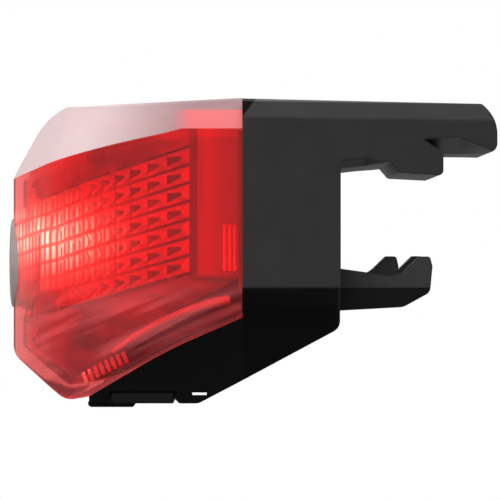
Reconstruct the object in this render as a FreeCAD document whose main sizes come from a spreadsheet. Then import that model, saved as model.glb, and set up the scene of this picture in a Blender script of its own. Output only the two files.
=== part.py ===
import FreeCAD, Part
import math
import os
import Sketcher

# Helmet light: a red wrap-around lens on a black housing whose rear arms clip to a helmet rail.
# Millimetres. The origin is the middle of the flat clip face between the arms.
# +X runs back into the clip, -X to the nose of the lens, +Y to the wearer's right, +Z up.
# Distances named reach are measured forwards (-X) from the clip face, depth downwards (-Z).

DIMENSIONS = {
    # outer form of the housing
    "seam_reach": 9.75,
    "seam_half_width": 22.0,
    "tip_half_width": 13.4,
    "arm_length": 15.87,
    "top_edge_height": 11.72,
    "crown_radius": 275.0,
    "crown_arc_share": 0.85,
    "bevel_height": 1.7,
    "bevel_width": 1.7,
    "shoulder_depth": 6.8,
    "shoulder_drop": 2.5,
    "shoulder_inset": 3.0,
    "rear_foot_depth": 10.8,
    "rear_foot_radius": 1.2,
    "chin_reach": 14.1,
    "chin_depth": 18.2,
    "chin_front_margin": 2.55,
    "chin_front_reach": "=board_reach + chin_front_margin",
    "chin_front_rise": 0.7,
    "chin_front_depth": "=chin_depth - chin_front_rise",
    "seam_foot_depth": 9.7,
    "seam_bend_reach": 17.3,
    "seam_bend_depth": 13.0,
    "seam_bend_radius": 40.0,
    "housing_wall": 1.8,
    "rear_wall": 2.4,
    "chin_floor": 1.2,
    # upper arm of the clip
    "arm_top_height": 12.6,
    "arm_tip_radius": 4.0,
    "arm_tip_height": 6.8,
    "tip_lip_radius": 0.9,
    "keel_root_height": 4.9,
    "keel_end_height": 5.75,
    "keel_half_width": 6.0,
    "tooth_start": 5.0,
    "tooth_end": 10.35,
    "tooth_height": 4.45,
    "tooth_ramp": 0.9,
    "tooth_radius": 0.5,
    "arch_height": 6.4,
    "scoop_start": 8.2,
    "scoop_height": 8.3,
    "scoop_rise": 0.35,
    # lower jaw of the clip
    "jaw_half_width": 11.2,
    "jaw_top_depth": 4.7,
    "jaw_saddle_depth": 5.75,
    "jaw_bottom_depth": 9.3,
    "jaw_bevel_inset": 2.0,
    "prong_reach": 9.45,
    "prong_tip_length": 1.0,
    "prong_tip_depth": 3.66,
    "prong_width": 4.6,
    "finger_half_width": 2.6,
    "finger_reach": 6.35,
    "fork_start": 2.3,
    # lens
    "nose_reach": 33.54,
    "nose_top_height": 4.3,
    "nose_foot_depth": 13.6,
    "nose_foot_radius": 2.2,
    "nose_radius": 16.0,
    "nose_sweep": 21.4,
    "cheek_radius": 13.0,
    "brow_reach": 29.2,
    "brow_radius": 6.0,
    "roof_slope": 3.0,
    "roof_bevel_foot": 8.95,
    "roof_bevel_width": 2.6,
    "crease_rise": 14.6,
    "cap_taper": 0.74,
    "chin_lip_run": 2.35,
    "chin_lip_reach": "=chin_front_reach + chin_lip_run",
    "chin_lip_depth": 17.95,
    "chin_lip_radius": 2.0,
    "lens_bevel_start": 2.5,
    "lens_bevel_end": 0.6,
    "lens_wall": 1.4,
    "seal_inset": 0.5,
    "seal_width": 0.6,
    "seal_height": 0.8,
    # prismatic optic
    "optic_gap": 0.4,
    "optic_wall": 1.1,
    "prism_depth": 0.6,
    "prism_rows": 7,
    "prism_columns": 30,
    "optic_ring_gap": 0.3,
    "optic_rear_reach": 15.0,
    "optic_top_height": 7.3,
    "optic_bottom_depth": 5.3,
    "optic_top_slope": 0.335,
    "optic_bottom_slope": 0.27,
    # tray behind the optic
    "tray_plate": 0.9,
    "tray_wall": 0.8,
    "tray_gap": 0.7,
    "tray_seam_gap": 0.7,
    "tray_rear_reach": 9.9,
    "tray_window_gap": 0.1,
    "plate_drop": 1.5,
    "boss_radius": 2.3,
    "boss_inset": 6.0,
    "boss_spread": "=seam_half_width - boss_inset",
    "boss_height": 1.0,
    "tray_screw_radius": 0.9,
    "tray_screw_length": 7.0,
    "screw_head_radius": 1.7,
    "screw_head_height": 1.1,
    "slot_width": 0.4,
    "slot_depth": 0.5,
    # circuit board and what it carries
    "board_reach": "=cell_rear_reach + cell_thickness + cell_gap + holder_front_wall + board_thickness",
    "board_thickness": 0.8,
    "board_side_inset": 0.5,
    "board_half_width": "=holder_half_width - board_side_inset",
    "board_top_height": 7.9,
    "board_bottom_depth": 9.5,
    "led_edge": 5.5,
    "led_spread": "=board_half_width - led_edge",
    "led_depth": 2.0,
    "led_radius": 1.5,
    "led_flange_radius": 1.9,
    "led_flange_height": 0.9,
    "led_length": 5.2,
    "reflector_thickness": 0.5,
    "wing_overhang": 1.7,
    "reflector_half_width": "=board_half_width + wing_overhang",
    "reflector_top_height": 6.5,
    "reflector_rear_reach": 16.4,
    "reflector_bottom_depth": 9.0,
    "reflector_hole_gap": 0.2,
    "wing_corner": 1.5,
    "chip_width": 5.0,
    "chip_height": 3.2,
    "chip_thickness": 1.4,
    "chip_base_height": 4.5,
    "resistor_length": 1.6,
    "resistor_width": 0.8,
    "resistor_thickness": 0.5,
    "resistor_pitch": 2.2,
    "resistor_start": 4.6,
    "capacitor_length": 3.2,
    "capacitor_width": 1.6,
    "capacitor_thickness": 1.6,
    "capacitor_centre": 6.2,
    "clip_height": 3.0,
    "clip_thickness": 1.0,
    "clip_hook": 0.6,
    "clip_hook_reach": 0.9,
    "clip_gap": 0.05,
    # push button and switch
    "button_depth": 4.35,
    "button_radius": 4.65,
    "button_proud": 0.2,
    "button_edge": 0.2,
    "button_thickness": 1.1,
    "button_travel": 0.5,
    "button_gap": 0.15,
    "flange_radius": 5.6,
    "flange_height": 0.8,
    "collar_radius": 6.2,
    "collar_setback": 3.14,
    "collar_reach": "=nose_reach - collar_setback",
    "stem_radius": 1.4,
    "boot_radius": 6.3,
    "boot_wall": 0.5,
    "boot_height": 1.9,
    "boot_stem_gap": 0.05,
    "switch_size": 6.0,
    "switch_height": 3.5,
    "plunger_radius": 1.75,
    "plunger_height": 0.8,
    "plunger_root": 1.0,
    # coin cell, holder and contacts
    "cell_radius": 10.0,
    "cell_thickness": 3.2,
    "cell_cap_radius": 8.8,
    "cell_cap_height": 0.3,
    "cell_setback": 1.2,
    "cell_rear_reach": "=chin_reach + hinge_setback + knuckle_radius + cell_setback",
    "cell_gap": 0.1,
    "holder_front_wall": 0.7,
    "holder_gap": 0.3,
    "holder_half_width": "=boss_spread - screw_head_radius - holder_gap",
    "holder_cover": 1.15,
    "holder_top_height": "=hatch_thickness + cell_gap + 2 * cell_radius + holder_cover - chin_depth",
    "contact_thickness": 0.2,
    "contact_width": 3.6,
    "contact_slot_gap": 0.1,
    "positive_drop": 5.0,
    "negative_length": 6.0,
    "negative_depth": 6.0,
    # battery hatch
    "hatch_thickness": 1.15,
    "chin_front_lip": 2.15,
    "hatch_front_reach": "=chin_front_reach - chin_front_lip",
    "foot_overhang": 0.35,
    "foot_front_reach": "=chin_front_reach + foot_overhang",
    "hatch_half_width": "=seam_half_width - shoulder_inset - hatch_gap",
    "foot_half_width": 13.0,
    "hatch_gap": 0.1,
    "foot_rear_reach": 20.6,
    "foot_drop": 0.6,
    "hinge_setback": 1.5,
    "hinge_reach": "=chin_reach + hinge_setback",
    "hinge_lift": 0.9,
    "hinge_depth": "=chin_depth - hinge_lift",
    "hinge_pin_radius": 0.5,
    "hinge_running_gap": 0.05,
    "knuckle_radius": 0.8,
    "knuckle_half_length": 8.0,
    "knuckle_gap": 0.2,
    "pin_half_length": "=hatch_half_width - hatch_gap",
    "hatch_seal_width": 0.8,
    "hatch_seal_height": 0.4,
    "aperture_half_width": "=cell_radius + cell_gap + aperture_gap",
    "aperture_gap": 0.2,
    "tether_slot_reach": 14.0,
    "tether_slot_lift": 0.95,
    "tether_slot_depth": "=chin_depth - tether_slot_lift",
    "tether_slot_length": 1.7,
    "tether_slot_height": 0.4,
}

NEGLIGIBLE = 1e-6
BEYOND = 40.0

doc = FreeCAD.newDocument("helmet_light")
sheet = doc.addObject("Spreadsheet::Sheet", "dims")
for row, alias in enumerate(DIMENSIONS, start=1):
    sheet.set(f"A{row}", alias)
    sheet.setAlias(f"B{row}", alias)
for row, value in enumerate(DIMENSIONS.values(), start=1):
    sheet.set(f"B{row}", str(value))
doc.recompute()


class SheetSizes:
    # reads a driving dimension from the sheet by its alias
    def __getattr__(self, alias):
        return float(sheet.get(alias))


size = SheetSizes()
Vector = FreeCAD.Vector
X_AXIS = Vector(1, 0, 0)
Y_AXIS = Vector(0, 1, 0)
Z_AXIS = Vector(0, 0, 1)


# Outlines

def side_view(u, v):
    return Vector(u, 0, v)


def plan_view(u, v):
    return Vector(u, v, 0)


def end_view(u, v):
    return Vector(0, u, v)


def arc_stations(corners, place, closed=True):
    # the start, middle and end of the arc at each corner (u, v, radius); a sharp corner has no middle
    points = [place(u, v) for u, v, radius in corners]
    count = len(corners)
    stations = []
    for index, here in enumerate(points):
        radius = corners[index][2]
        is_end = not closed and index in (0, count - 1)
        if radius <= 0 or is_end:
            stations.append((here, None, here))
            continue
        back = (points[index - 1] - here).normalize()
        ahead = (points[(index + 1) % count] - here).normalize()
        half_angle = back.getAngle(ahead) / 2
        reach = radius / math.tan(half_angle)
        bisector = (back + ahead).normalize()
        middle = here + bisector * (radius / math.sin(half_angle) - radius)
        stations.append((here + back * reach, middle, here + ahead * reach))
    return stations


def rounded_outline(corners, place, closed=True):
    # a wire through corners (u, v, radius), each rounded by an arc tangent to its two sides
    stations = arc_stations(corners, place, closed)
    count = len(stations)
    edges = []
    for index, (first, middle, last) in enumerate(stations):
        if middle is not None:
            edges.append(Part.Arc(first, middle, last).toShape())
        if index == count - 1 and not closed:
            break
        following = stations[(index + 1) % count][0]
        if last.distanceToPoint(following) > NEGLIGIBLE:
            edges.append(Part.LineSegment(last, following).toShape())
    return Part.Wire(edges)


def faceted(corners):
    # the same outline with two chords in place of each arc
    plain = []
    for first, middle, last in arc_stations(corners, plan_view):
        on_arc = [first] if middle is None else [first, middle, last]
        plain += [(point.x, point.y, 0) for point in on_arc]
    return plain


def inset_corners(corners, insets):
    # moves side k, which runs from corner k to corner k + 1, inwards by insets[k]
    count = len(corners)
    area = 0.0
    for index in range(count):
        u, v = corners[index][:2]
        next_u, next_v = corners[(index + 1) % count][:2]
        area += u * next_v - next_u * v
    turn = 1 if area > 0 else -1
    sides = []
    for index in range(count):
        u, v = corners[index][:2]
        next_u, next_v = corners[(index + 1) % count][:2]
        length = math.hypot(next_u - u, next_v - v)
        along = ((next_u - u) / length, (next_v - v) / length)
        inward = (-along[1] * turn, along[0] * turn)
        start = (u + inward[0] * insets[index], v + inward[1] * insets[index])
        sides.append((start, along))
    moved = []
    for index in range(count):
        (start, along) = sides[index - 1]
        (other, across) = sides[index]
        cross = along[0] * across[1] - along[1] * across[0]
        travel = ((other[0] - start[0]) * across[1] - (other[1] - start[1]) * across[0]) / cross
        bulges = cross * turn > 0
        mean_inset = (insets[index - 1] + insets[index]) / 2
        radius = corners[index][2]
        if radius > 0:
            radius = max(radius - mean_inset if bulges else radius + mean_inset, 0.0)
        moved.append((start[0] + along[0] * travel, start[1] + along[1] * travel, radius))
    return moved


def even_inset(corners, inset):
    return inset_corners(corners, [inset] * len(corners)) if inset else corners


def prism(corners, place, normal, low, high):
    face = Part.Face(rounded_outline(corners, place))
    face.translate(normal * low)
    return face.extrude(normal * (high - low))


def mirrored(corners):
    # completes the left half of an end view with its right half
    return corners + [(-u, v, radius) for u, v, radius in reversed(corners) if u != 0]


def box(low, high):
    return Part.makeBox(high[0] - low[0], high[1] - low[1], high[2] - low[2], Vector(*low))


def rod(radius, start, end, y, z):
    return Part.makeCylinder(radius, end - start, Vector(start, y, z), X_AXIS)


def both_sides(shape):
    return [shape, shape.mirror(Vector(0, 0, 0), Y_AXIS)]


# Shared outlines of the outer form

def half_width_at(x):
    taper = (size.seam_half_width - size.tip_half_width) / (size.seam_reach + size.arm_length)
    return size.seam_half_width - taper * (x + size.seam_reach)


def crown_height(y):
    # height above the origin of the gently domed top at the seam
    edge = size.seam_half_width - size.bevel_width
    return size.top_edge_height + (edge * edge - y * y) / (2 * size.crown_radius)


def crowned_top(edge, edge_height):
    # the left half of a domed top, from its edge to the corner that its arc rounds off
    rise = edge * edge / size.crown_radius
    return [(-edge, edge_height, 0), (0, edge_height + rise, size.crown_arc_share * size.crown_radius)]


def housing_section(half_width, wall):
    low_half_width = half_width - size.shoulder_inset
    shoulder_foot = -size.shoulder_depth - size.shoulder_drop
    left = [
        (-low_half_width, -BEYOND, 0),
        (-low_half_width, shoulder_foot, 0),
        (-half_width, -size.shoulder_depth, 0),
        (-half_width, size.top_edge_height - size.bevel_height, 0),
    ] + crowned_top(half_width - size.bevel_width, size.top_edge_height)
    return even_inset(mirrored(left), wall)


def housing_envelope(wall):
    stations = [-size.seam_reach, size.arm_length + 1]
    wires = []
    for x in stations:
        wire = rounded_outline(housing_section(half_width_at(x), wall), end_view)
        wire.translate(X_AXIS * x)
        wires.append(wire)
    tapered = Part.makeLoft(wires, True, True)
    chin_half_width = size.seam_half_width - size.shoulder_inset - wall
    chin = box((-BEYOND, -chin_half_width, -BEYOND), (-size.seam_reach, chin_half_width, -size.shoulder_depth))
    return tapered.fuse(chin)


def housing_profile():
    # side view of the box and chin, clockwise from the top of the seam
    return [
        (-size.seam_reach, size.top_edge_height + 4, 0),
        (0, size.top_edge_height + 4, 0),
        (0, -size.rear_foot_depth, size.rear_foot_radius),
        (-size.chin_reach, -size.chin_depth, size.rear_foot_radius),
        (-size.chin_front_reach, -size.chin_depth, 0),
        (-size.chin_front_reach, -size.chin_front_depth, 0),
        (-size.seam_bend_reach, -size.seam_bend_depth, size.seam_bend_radius),
        (-size.seam_reach, -size.seam_foot_depth, 0),
    ]


def lens_profile(is_open):
    # side view of the lens, clockwise from the foot of the nose; open, it has no end at the seam
    roof_height = crown_height(0) + 0.03
    roof_fall = math.tan(math.radians(size.roof_slope))
    brow_height = roof_height - roof_fall * (size.brow_reach - size.seam_reach)
    seam = [
        (-size.seam_reach, roof_height, 0),
        (-size.seam_reach, -size.seam_foot_depth, 0),
        (-size.seam_bend_reach, -size.seam_bend_depth, size.seam_bend_radius),
    ]
    beyond_seam = [
        (0, roof_height + roof_fall * size.seam_reach, 0),
        (0, -BEYOND, 0),
        (-size.chin_front_reach, -BEYOND, 0),
    ]
    return [
        (-size.nose_reach, -size.nose_foot_depth, size.nose_foot_radius),
        (-size.nose_reach, size.nose_top_height, 0),
        (-size.brow_reach, brow_height, size.brow_radius),
    ] + (beyond_seam if is_open else seam) + [
        (-size.chin_front_reach, -size.chin_front_depth, 0),
        (-size.chin_lip_reach, -size.chin_lip_depth, size.chin_lip_radius),
    ]


HOUSING_SEAM_SIDES = 3


def lens_plan(rear):
    # plan of the bowed nose: straight sides, round cheeks, two swept faces and a round nose
    sweep = math.radians(size.nose_sweep)
    apex = -size.nose_reach - size.nose_radius * (1 / math.cos(sweep) - 1)
    cheek = apex + math.tan(sweep) * size.seam_half_width
    return [
        (rear, -size.seam_half_width, 0),
        (cheek, -size.seam_half_width, size.cheek_radius),
        (apex, 0, size.nose_radius),
        (cheek, size.seam_half_width, size.cheek_radius),
        (rear, size.seam_half_width, 0),
    ]


def brow_cap(inset, is_plain):
    # tapering cap whose lower edge is the crease that falls towards the nose
    normal_share = math.hypot(1, size.cap_taper)
    wires = []
    for height in (-4.0, 10.0):
        shift = size.cap_taper * height + inset * normal_share
        plan = even_inset(lens_plan(BEYOND), shift)
        wire = rounded_outline(faceted(plan) if is_plain else plan, plan_view)
        wire.translate(Vector(size.nose_reach, 0, height))
        wires.append(wire)
    cap = Part.makeLoft(wires, True, True)
    below = wires[0].BoundBox
    skirt = box((-5, below.YMin, -BEYOND), (BEYOND * 2, below.YMax, -4.0))
    cap = cap.fuse(skirt)
    cap.rotate(Vector(0, 0, 0), Y_AXIS, -size.crease_rise)
    cap.translate(Vector(-size.nose_reach, 0, size.nose_top_height))
    return cap


def roof_form(inset, is_plain):
    # upright sides, the bevel above them and the roof, domed unless plain, that falls towards the nose
    bevel_rise = crown_height(size.seam_half_width - size.roof_bevel_width) - size.roof_bevel_foot
    left = [
        (-size.seam_half_width, -BEYOND, 0),
        (-size.seam_half_width, size.roof_bevel_foot, 0),
        (-size.seam_half_width + 3 * size.roof_bevel_width, size.roof_bevel_foot + 3 * bevel_rise, 0),
    ]
    sides = prism(even_inset(mirrored(left), inset), end_view, X_AXIS, -BEYOND, BEYOND)
    edge = size.seam_half_width + size.roof_bevel_width
    flat = [(-edge, crown_height(size.seam_half_width - size.roof_bevel_width), 0)]
    dome = [(-edge, -2 * BEYOND, 0)] + (flat if is_plain else crowned_top(edge, crown_height(edge)))
    roof = prism(even_inset(mirrored(dome), inset), end_view, X_AXIS, -BEYOND, BEYOND)
    roof.rotate(Vector(-size.seam_reach, 0, crown_height(0)), Y_AXIS, -size.roof_slope)
    return sides.common(roof)


def chin_bevel(inset):
    # trough along the lower seam that draws the lens in to the width of the chin
    low_half_width = size.seam_half_width - size.shoulder_inset
    left = [
        (-low_half_width, -BEYOND, 0),
        (-low_half_width, size.lens_bevel_end, 0),
        (-size.seam_half_width, size.lens_bevel_start, 0),
        (-size.seam_half_width, BEYOND, 0),
    ]
    trough = prism(even_inset(mirrored(left), inset), end_view, X_AXIS, -2 * BEYOND, 2 * BEYOND)
    rise = size.chin_front_depth - size.seam_foot_depth
    run = size.chin_front_reach - size.seam_reach
    trough.rotate(Vector(0, 0, 0), Y_AXIS, -math.degrees(math.atan2(rise, run)))
    trough.translate(Vector(-size.seam_reach, 0, -size.seam_foot_depth))
    return trough


def lens_form(inset=0.0, is_open=False, is_plain=False):
    # the lens as a solid drawn in by inset; open, it carries on behind and below the seam;
    # plain, it has sharp corners in the side view, a faceted plan and a flat roof
    profile = even_inset(lens_profile(is_open), inset)
    plan = even_inset(lens_plan(BEYOND), inset)
    if is_plain:
        profile = [(u, v, 0) for u, v, radius in profile]
        plan = faceted(plan)
    form = prism(profile, side_view, Y_AXIS, -BEYOND, BEYOND)
    form = form.common(prism(plan, plan_view, Z_AXIS, -BEYOND, BEYOND))
    form = form.common(roof_form(inset, is_plain))
    form = form.common(brow_cap(inset, is_plain))
    return form.common(chin_bevel(inset))


# Sketch helpers for the pieces made as bodies

def new_body(label):
    body = doc.addObject("PartDesign::Body", label)
    body.Label = label
    return body


def new_sketch(body, plane, offset=None):
    sketch = body.newObject("Sketcher::SketchObject", f"{body.Label}_sketch")
    support = [feature for feature in body.Origin.OriginFeatures if feature.Role == plane][0]
    sketch.AttachmentSupport = (support, "")
    sketch.MapMode = "FlatFace"
    if offset is not None:
        sketch.setExpression("AttachmentOffset.Base.z", offset)
    return sketch


def number(expression):
    return float(sheet.evalExpression(expression))


def bind(sketch, kind, geometry, point, expression):
    # fixes one coordinate of a point to an expression of the sheet
    value = number(expression)
    if abs(value) < NEGLIGIBLE:
        axis = -2 if kind == "DistanceX" else -1
        sketch.addConstraint(Sketcher.Constraint("PointOnObject", geometry, point, axis))
        return
    constraint = sketch.addConstraint(Sketcher.Constraint(kind, -1, 1, geometry, point, value))
    sketch.setExpression(f"Constraints[{constraint}]", expression)


def draw_polygon(sketch, corners):
    first = sketch.GeometryCount
    points = [Vector(number(u), number(v), 0) for u, v in corners]
    count = len(points)
    for index in range(count):
        sketch.addGeometry(Part.LineSegment(points[index], points[(index + 1) % count]))
    for index in range(count):
        following = first + (index + 1) % count
        sketch.addConstraint(Sketcher.Constraint("Coincident", first + index, 2, following, 1))
    for index, (u, v) in enumerate(corners):
        bind(sketch, "DistanceX", first + index, 1, u)
        bind(sketch, "DistanceY", first + index, 1, v)


def draw_rectangle(sketch, half_width, low, high):
    left = f"-({half_width})"
    draw_polygon(sketch, [(left, low), (half_width, low), (half_width, high), (left, high)])


def draw_circle(sketch, u, v, radius):
    circle = Part.Circle(Vector(number(u), number(v), 0), Z_AXIS, number(radius))
    geometry = sketch.addGeometry(circle)
    constraint = sketch.addConstraint(Sketcher.Constraint("Radius", geometry, number(radius)))
    sketch.setExpression(f"Constraints[{constraint}]", radius)
    bind(sketch, "DistanceX", geometry, 3, u)
    bind(sketch, "DistanceY", geometry, 3, v)


def pad(body, sketch, length, backwards=False):
    feature = body.newObject("PartDesign::Pad", f"{body.Label}_pad")
    feature.Profile = sketch
    feature.setExpression("Length", length)
    feature.Reversed = backwards
    doc.recompute()
    return feature


def pocket(body, sketch, length, backwards=False):
    volume_before = body.Shape.Volume
    feature = body.newObject("PartDesign::Pocket", f"{body.Label}_pocket")
    feature.Profile = sketch
    feature.setExpression("Length", length)
    feature.Reversed = backwards
    doc.recompute()
    if body.Shape.Volume >= volume_before:
        raise ValueError(f"a pocket of {body.Label} cuts nothing")
    return feature


def revolve_profile(body, corners, axis_height):
    # turns a side view about a line along X at the given height
    sketch = new_sketch(body, "XZ_Plane")
    draw_polygon(sketch, [(u, f"{axis_height} + {v}") for u, v in corners])
    line = Part.LineSegment(Vector(-BEYOND, number(axis_height), 0), Vector(0, number(axis_height), 0))
    geometry = sketch.addGeometry(line, True)
    sketch.addConstraint(Sketcher.Constraint("Horizontal", geometry))
    bind(sketch, "DistanceY", geometry, 1, axis_height)
    feature = body.newObject("PartDesign::Revolution", f"{body.Label}_turn")
    feature.Profile = sketch
    feature.ReferenceAxis = (sketch, ["Axis0"])
    feature.Angle = 360
    doc.recompute()
    return feature


def round_edges(body, base, edges, radius):
    feature = body.newObject("PartDesign::Fillet", f"{body.Label}_round")
    feature.Base = (base, edges)
    feature.setExpression("Radius", radius)
    doc.recompute()
    return feature


def edges_along(shape, axis):
    names = []
    for index, edge in enumerate(shape.Edges, start=1):
        is_line = isinstance(edge.Curve, Part.Line)
        if is_line and abs(edge.tangentAt(edge.FirstParameter).dot(axis)) > 1 - NEGLIGIBLE:
            names.append(f"Edge{index}")
    return names


parts = []


def add_shape(label, shape):
    feature = doc.addObject("Part::Feature", label)
    feature.Label = label
    feature.Shape = shape
    feature.Placement = FreeCAD.Placement()
    parts.append(feature)
    return feature


def add_body(body):
    parts.append(body)
    return body


# Rear housing with the clip

def upper_arm():
    rear = -size.rear_wall
    profile = [
        (rear, size.arm_top_height, 0),
        (size.arm_length, size.arm_top_height, size.arm_tip_radius),
        (size.arm_length, size.arm_tip_height, size.tip_lip_radius),
        (size.tooth_end, size.arm_tip_height, 0),
        (size.tooth_end, size.tooth_height, size.tooth_radius),
        (size.tooth_start + size.tooth_ramp, size.tooth_height + 0.25, size.tooth_radius),
        (size.tooth_start, size.keel_end_height, 0),
        (rear, size.keel_root_height, 0),
    ]
    return prism(profile, side_view, Y_AXIS, -BEYOND, BEYOND)


def scoop(near_corners, deep_corners, near_half_width, deep_half_width):
    # hollow under one edge of the arm that deepens from the keel to the side
    wires = []
    for corners, y in ((near_corners, -near_half_width), (deep_corners, -deep_half_width)):
        wire = rounded_outline([(u, v, 0) for u, v in corners], side_view)
        wire.translate(Y_AXIS * y)
        wires.append(wire)
    return Part.makeLoft(wires, True, True)


def root_scoop():
    middle = size.tooth_start / 2
    base = size.keel_root_height - 2
    flat = size.keel_root_height - 0.5
    near = [(0, base), (0, size.arch_height - 0.45), (middle, size.arch_height),
            (size.tooth_start, size.keel_end_height - 0.1), (size.tooth_start, base)]
    deep = [(0, base), (0, flat), (middle, flat), (size.tooth_start, flat), (size.tooth_start, base)]
    return scoop(near, deep, half_width_at(0) + 1, size.keel_half_width)


def tip_scoop():
    middle = (size.tooth_end + size.arm_length) / 2 - 1
    base = size.arm_tip_height - 1.3
    flat = size.arm_tip_height - 0.2
    end = size.arm_length - 0.5
    near = [(size.tooth_end, base), (size.tooth_end, size.arm_tip_height),
            (size.scoop_start, size.scoop_height - 0.2), (middle, size.scoop_height + size.scoop_rise),
            (end, size.arm_tip_height + 0.3), (end, base)]
    deep = [(size.tooth_end, base), (size.tooth_end, flat - 0.2), (size.tooth_end - 0.1, flat),
            (middle, flat), (end, flat), (end, base)]
    return scoop(near, deep, half_width_at(size.tooth_end) + 1, size.keel_half_width)


def prong_profile(reach, tip_length):
    rear = -size.rear_wall
    return [
        (rear, -size.jaw_top_depth + 0.15, 0),
        (reach - 3.4, -size.jaw_saddle_depth, 2.2),
        (reach - 0.25 - tip_length, -size.prong_tip_depth, 0.2),
        (reach - 0.25, -size.prong_tip_depth, 0.3),
        (reach, -size.prong_tip_depth - 1, 0),
        (reach - 0.25, -size.jaw_bottom_depth + 2, 0.8),
        (reach - 2.9, -size.jaw_bottom_depth + 0.5, 1.5),
        (rear, -size.jaw_bottom_depth, 0),
    ]


def lower_jaw():
    # a fork: two outer prongs with hooked tips and a shorter finger between them
    low_half_width = size.jaw_half_width - size.jaw_bevel_inset
    left = [
        (-low_half_width, -BEYOND, 0),
        (-low_half_width, -size.jaw_bottom_depth, 0),
        (-size.jaw_half_width, -size.shoulder_depth, 0),
        (-size.jaw_half_width, 0, 0),
    ]
    width = prism(mirrored(left), end_view, X_AXIS, -size.rear_wall, BEYOND)
    prongs = prism(prong_profile(size.prong_reach, size.prong_tip_length), side_view, Y_AXIS, -BEYOND, BEYOND)
    prongs = prongs.common(width)
    fork_half_width = size.jaw_half_width - size.prong_width
    slot = box((size.fork_start, -fork_half_width, -BEYOND), (BEYOND, fork_half_width, 0))
    finger = prism(prong_profile(size.finger_reach, size.prong_tip_length), side_view, Y_AXIS,
                   -size.finger_half_width, size.finger_half_width)
    return prongs.cut(slot).fuse(finger)


def boss_places():
    return [(side * size.boss_spread, size.boss_height) for side in (-1, 1)]


def aperture():
    # opening in the chin floor through which the coin cell slides
    front = -cell_front_reach() - size.aperture_gap
    rear = -size.cell_rear_reach + size.aperture_gap
    return box((front, -size.aperture_half_width, -BEYOND), (rear, size.aperture_half_width, 0))


def cell_front_reach():
    return size.cell_rear_reach + size.cell_thickness


def hatch_top():
    return -size.chin_depth + size.hatch_thickness


def seal_band(depth_below, depth_above):
    # layer that follows the seam, from below it in the housing to above it in the lens
    seam = [
        (-size.seam_reach, BEYOND, 0),
        (-size.seam_reach, -size.seam_foot_depth, 0),
        (-size.seam_bend_reach, -size.seam_bend_depth, size.seam_bend_radius),
        (-size.chin_front_reach, -size.chin_front_depth, 0),
        (-size.chin_front_reach, BEYOND, 0),
    ]
    past_front = -5.0
    outer = inset_corners(seam, [-depth_below] * 3 + [past_front, 0])
    inner = inset_corners(seam, [depth_above] * 3 + [past_front * 2, 0])
    thick = prism(outer, side_view, Y_AXIS, -BEYOND, BEYOND)
    core = prism(inner, side_view, Y_AXIS, -2 * BEYOND, 2 * BEYOND)
    return thick.cut(core)


def seal_ring():
    # endless ring inside the lens wall, before it is trimmed to its groove along the seam
    outer = lens_form(size.seal_inset, is_open=True)
    inner = lens_form(size.seal_inset + size.seal_width, is_open=True)
    return outer.cut(inner)


def rear_housing():
    outer = prism(housing_profile(), side_view, Y_AXIS, -BEYOND, BEYOND)
    outer = outer.common(housing_envelope(0))
    shell = outer.fuse(upper_arm().common(housing_envelope(0)))
    shell = shell.fuse(lower_jaw())
    for hollow in both_sides(root_scoop()) + both_sides(tip_scoop()):
        shell = shell.cut(hollow)
    profile = housing_profile()
    floor = size.hatch_thickness + size.chin_floor
    insets = [size.housing_wall, size.rear_wall, size.housing_wall, floor, size.housing_wall]
    insets += [-2.0] * HOUSING_SEAM_SIDES
    cavity = prism(inset_corners(profile, insets), side_view, Y_AXIS, -BEYOND, BEYOND)
    cavity = cavity.common(housing_envelope(size.housing_wall))
    shell = shell.cut(cavity)
    boss_front = -size.optic_rear_reach + size.tray_plate
    for y, z in boss_places():
        shell = shell.fuse(rod(size.boss_radius, boss_front, -size.rear_wall, y, z))
        hole_end = boss_front + size.tray_screw_length
        shell = shell.cut(rod(size.tray_screw_radius, boss_front - 1, hole_end, y, z))
    hatch_space_front = -size.hatch_front_reach - size.hatch_gap
    hatch_space_rear = -size.hinge_reach + size.knuckle_radius
    hatch_space = box((hatch_space_front, -BEYOND, -BEYOND), (hatch_space_rear, BEYOND, hatch_top()))
    shell = shell.cut(hatch_space)
    shell = shell.cut(aperture())
    shell = shell.fuse(hinge_cheeks())
    shell = shell.cut(hinge_recess())
    slot = box((-size.tether_slot_reach - size.tether_slot_length / 2, -BEYOND,
                -size.tether_slot_depth - size.tether_slot_height / 2),
               (-size.tether_slot_reach + size.tether_slot_length / 2, BEYOND,
                -size.tether_slot_depth + size.tether_slot_height / 2))
    shell = shell.cut(slot)
    return shell.cut(seal_ring().common(seal_band(size.seal_height / 2, 0.0)))


# Battery hatch and its hinge

def hinge_axis_rod(radius, start, end):
    return Part.makeCylinder(radius, end - start, Vector(-size.hinge_reach, start, -size.hinge_depth), Y_AXIS)


def hinge_cheeks():
    # bevelled lugs under the chin that hold the two ends of the hinge pin
    start = size.knuckle_half_length + size.knuckle_gap
    rear = -size.hinge_reach + size.knuckle_radius
    front = -size.hinge_reach - size.knuckle_radius
    end = size.hatch_half_width + size.hatch_gap
    bevel = size.knuckle_radius / 2
    outline = [
        (rear + NEGLIGIBLE, hatch_top(), 0),
        (rear + NEGLIGIBLE, -size.chin_depth, 0),
        (front + bevel, -size.chin_depth, 0),
        (front, -size.chin_depth + bevel, 0),
        (front, hatch_top(), 0),
    ]
    left, right = both_sides(prism(outline, side_view, Y_AXIS, start, end))
    return left.fuse(right)


def hinge_recess():
    # slot in the chin that the knuckle turns in, and the blind holes for the pin
    reach = size.knuckle_half_length + size.knuckle_gap
    half_width = size.knuckle_radius + size.knuckle_gap
    recess = box((-size.hinge_reach - half_width, -reach, -BEYOND),
                 (-size.hinge_reach + half_width, reach, -size.hinge_depth + half_width))
    pin_holes = hinge_axis_rod(size.hinge_pin_radius, -size.pin_half_length, size.pin_half_length)
    return recess.fuse(pin_holes)


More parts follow.
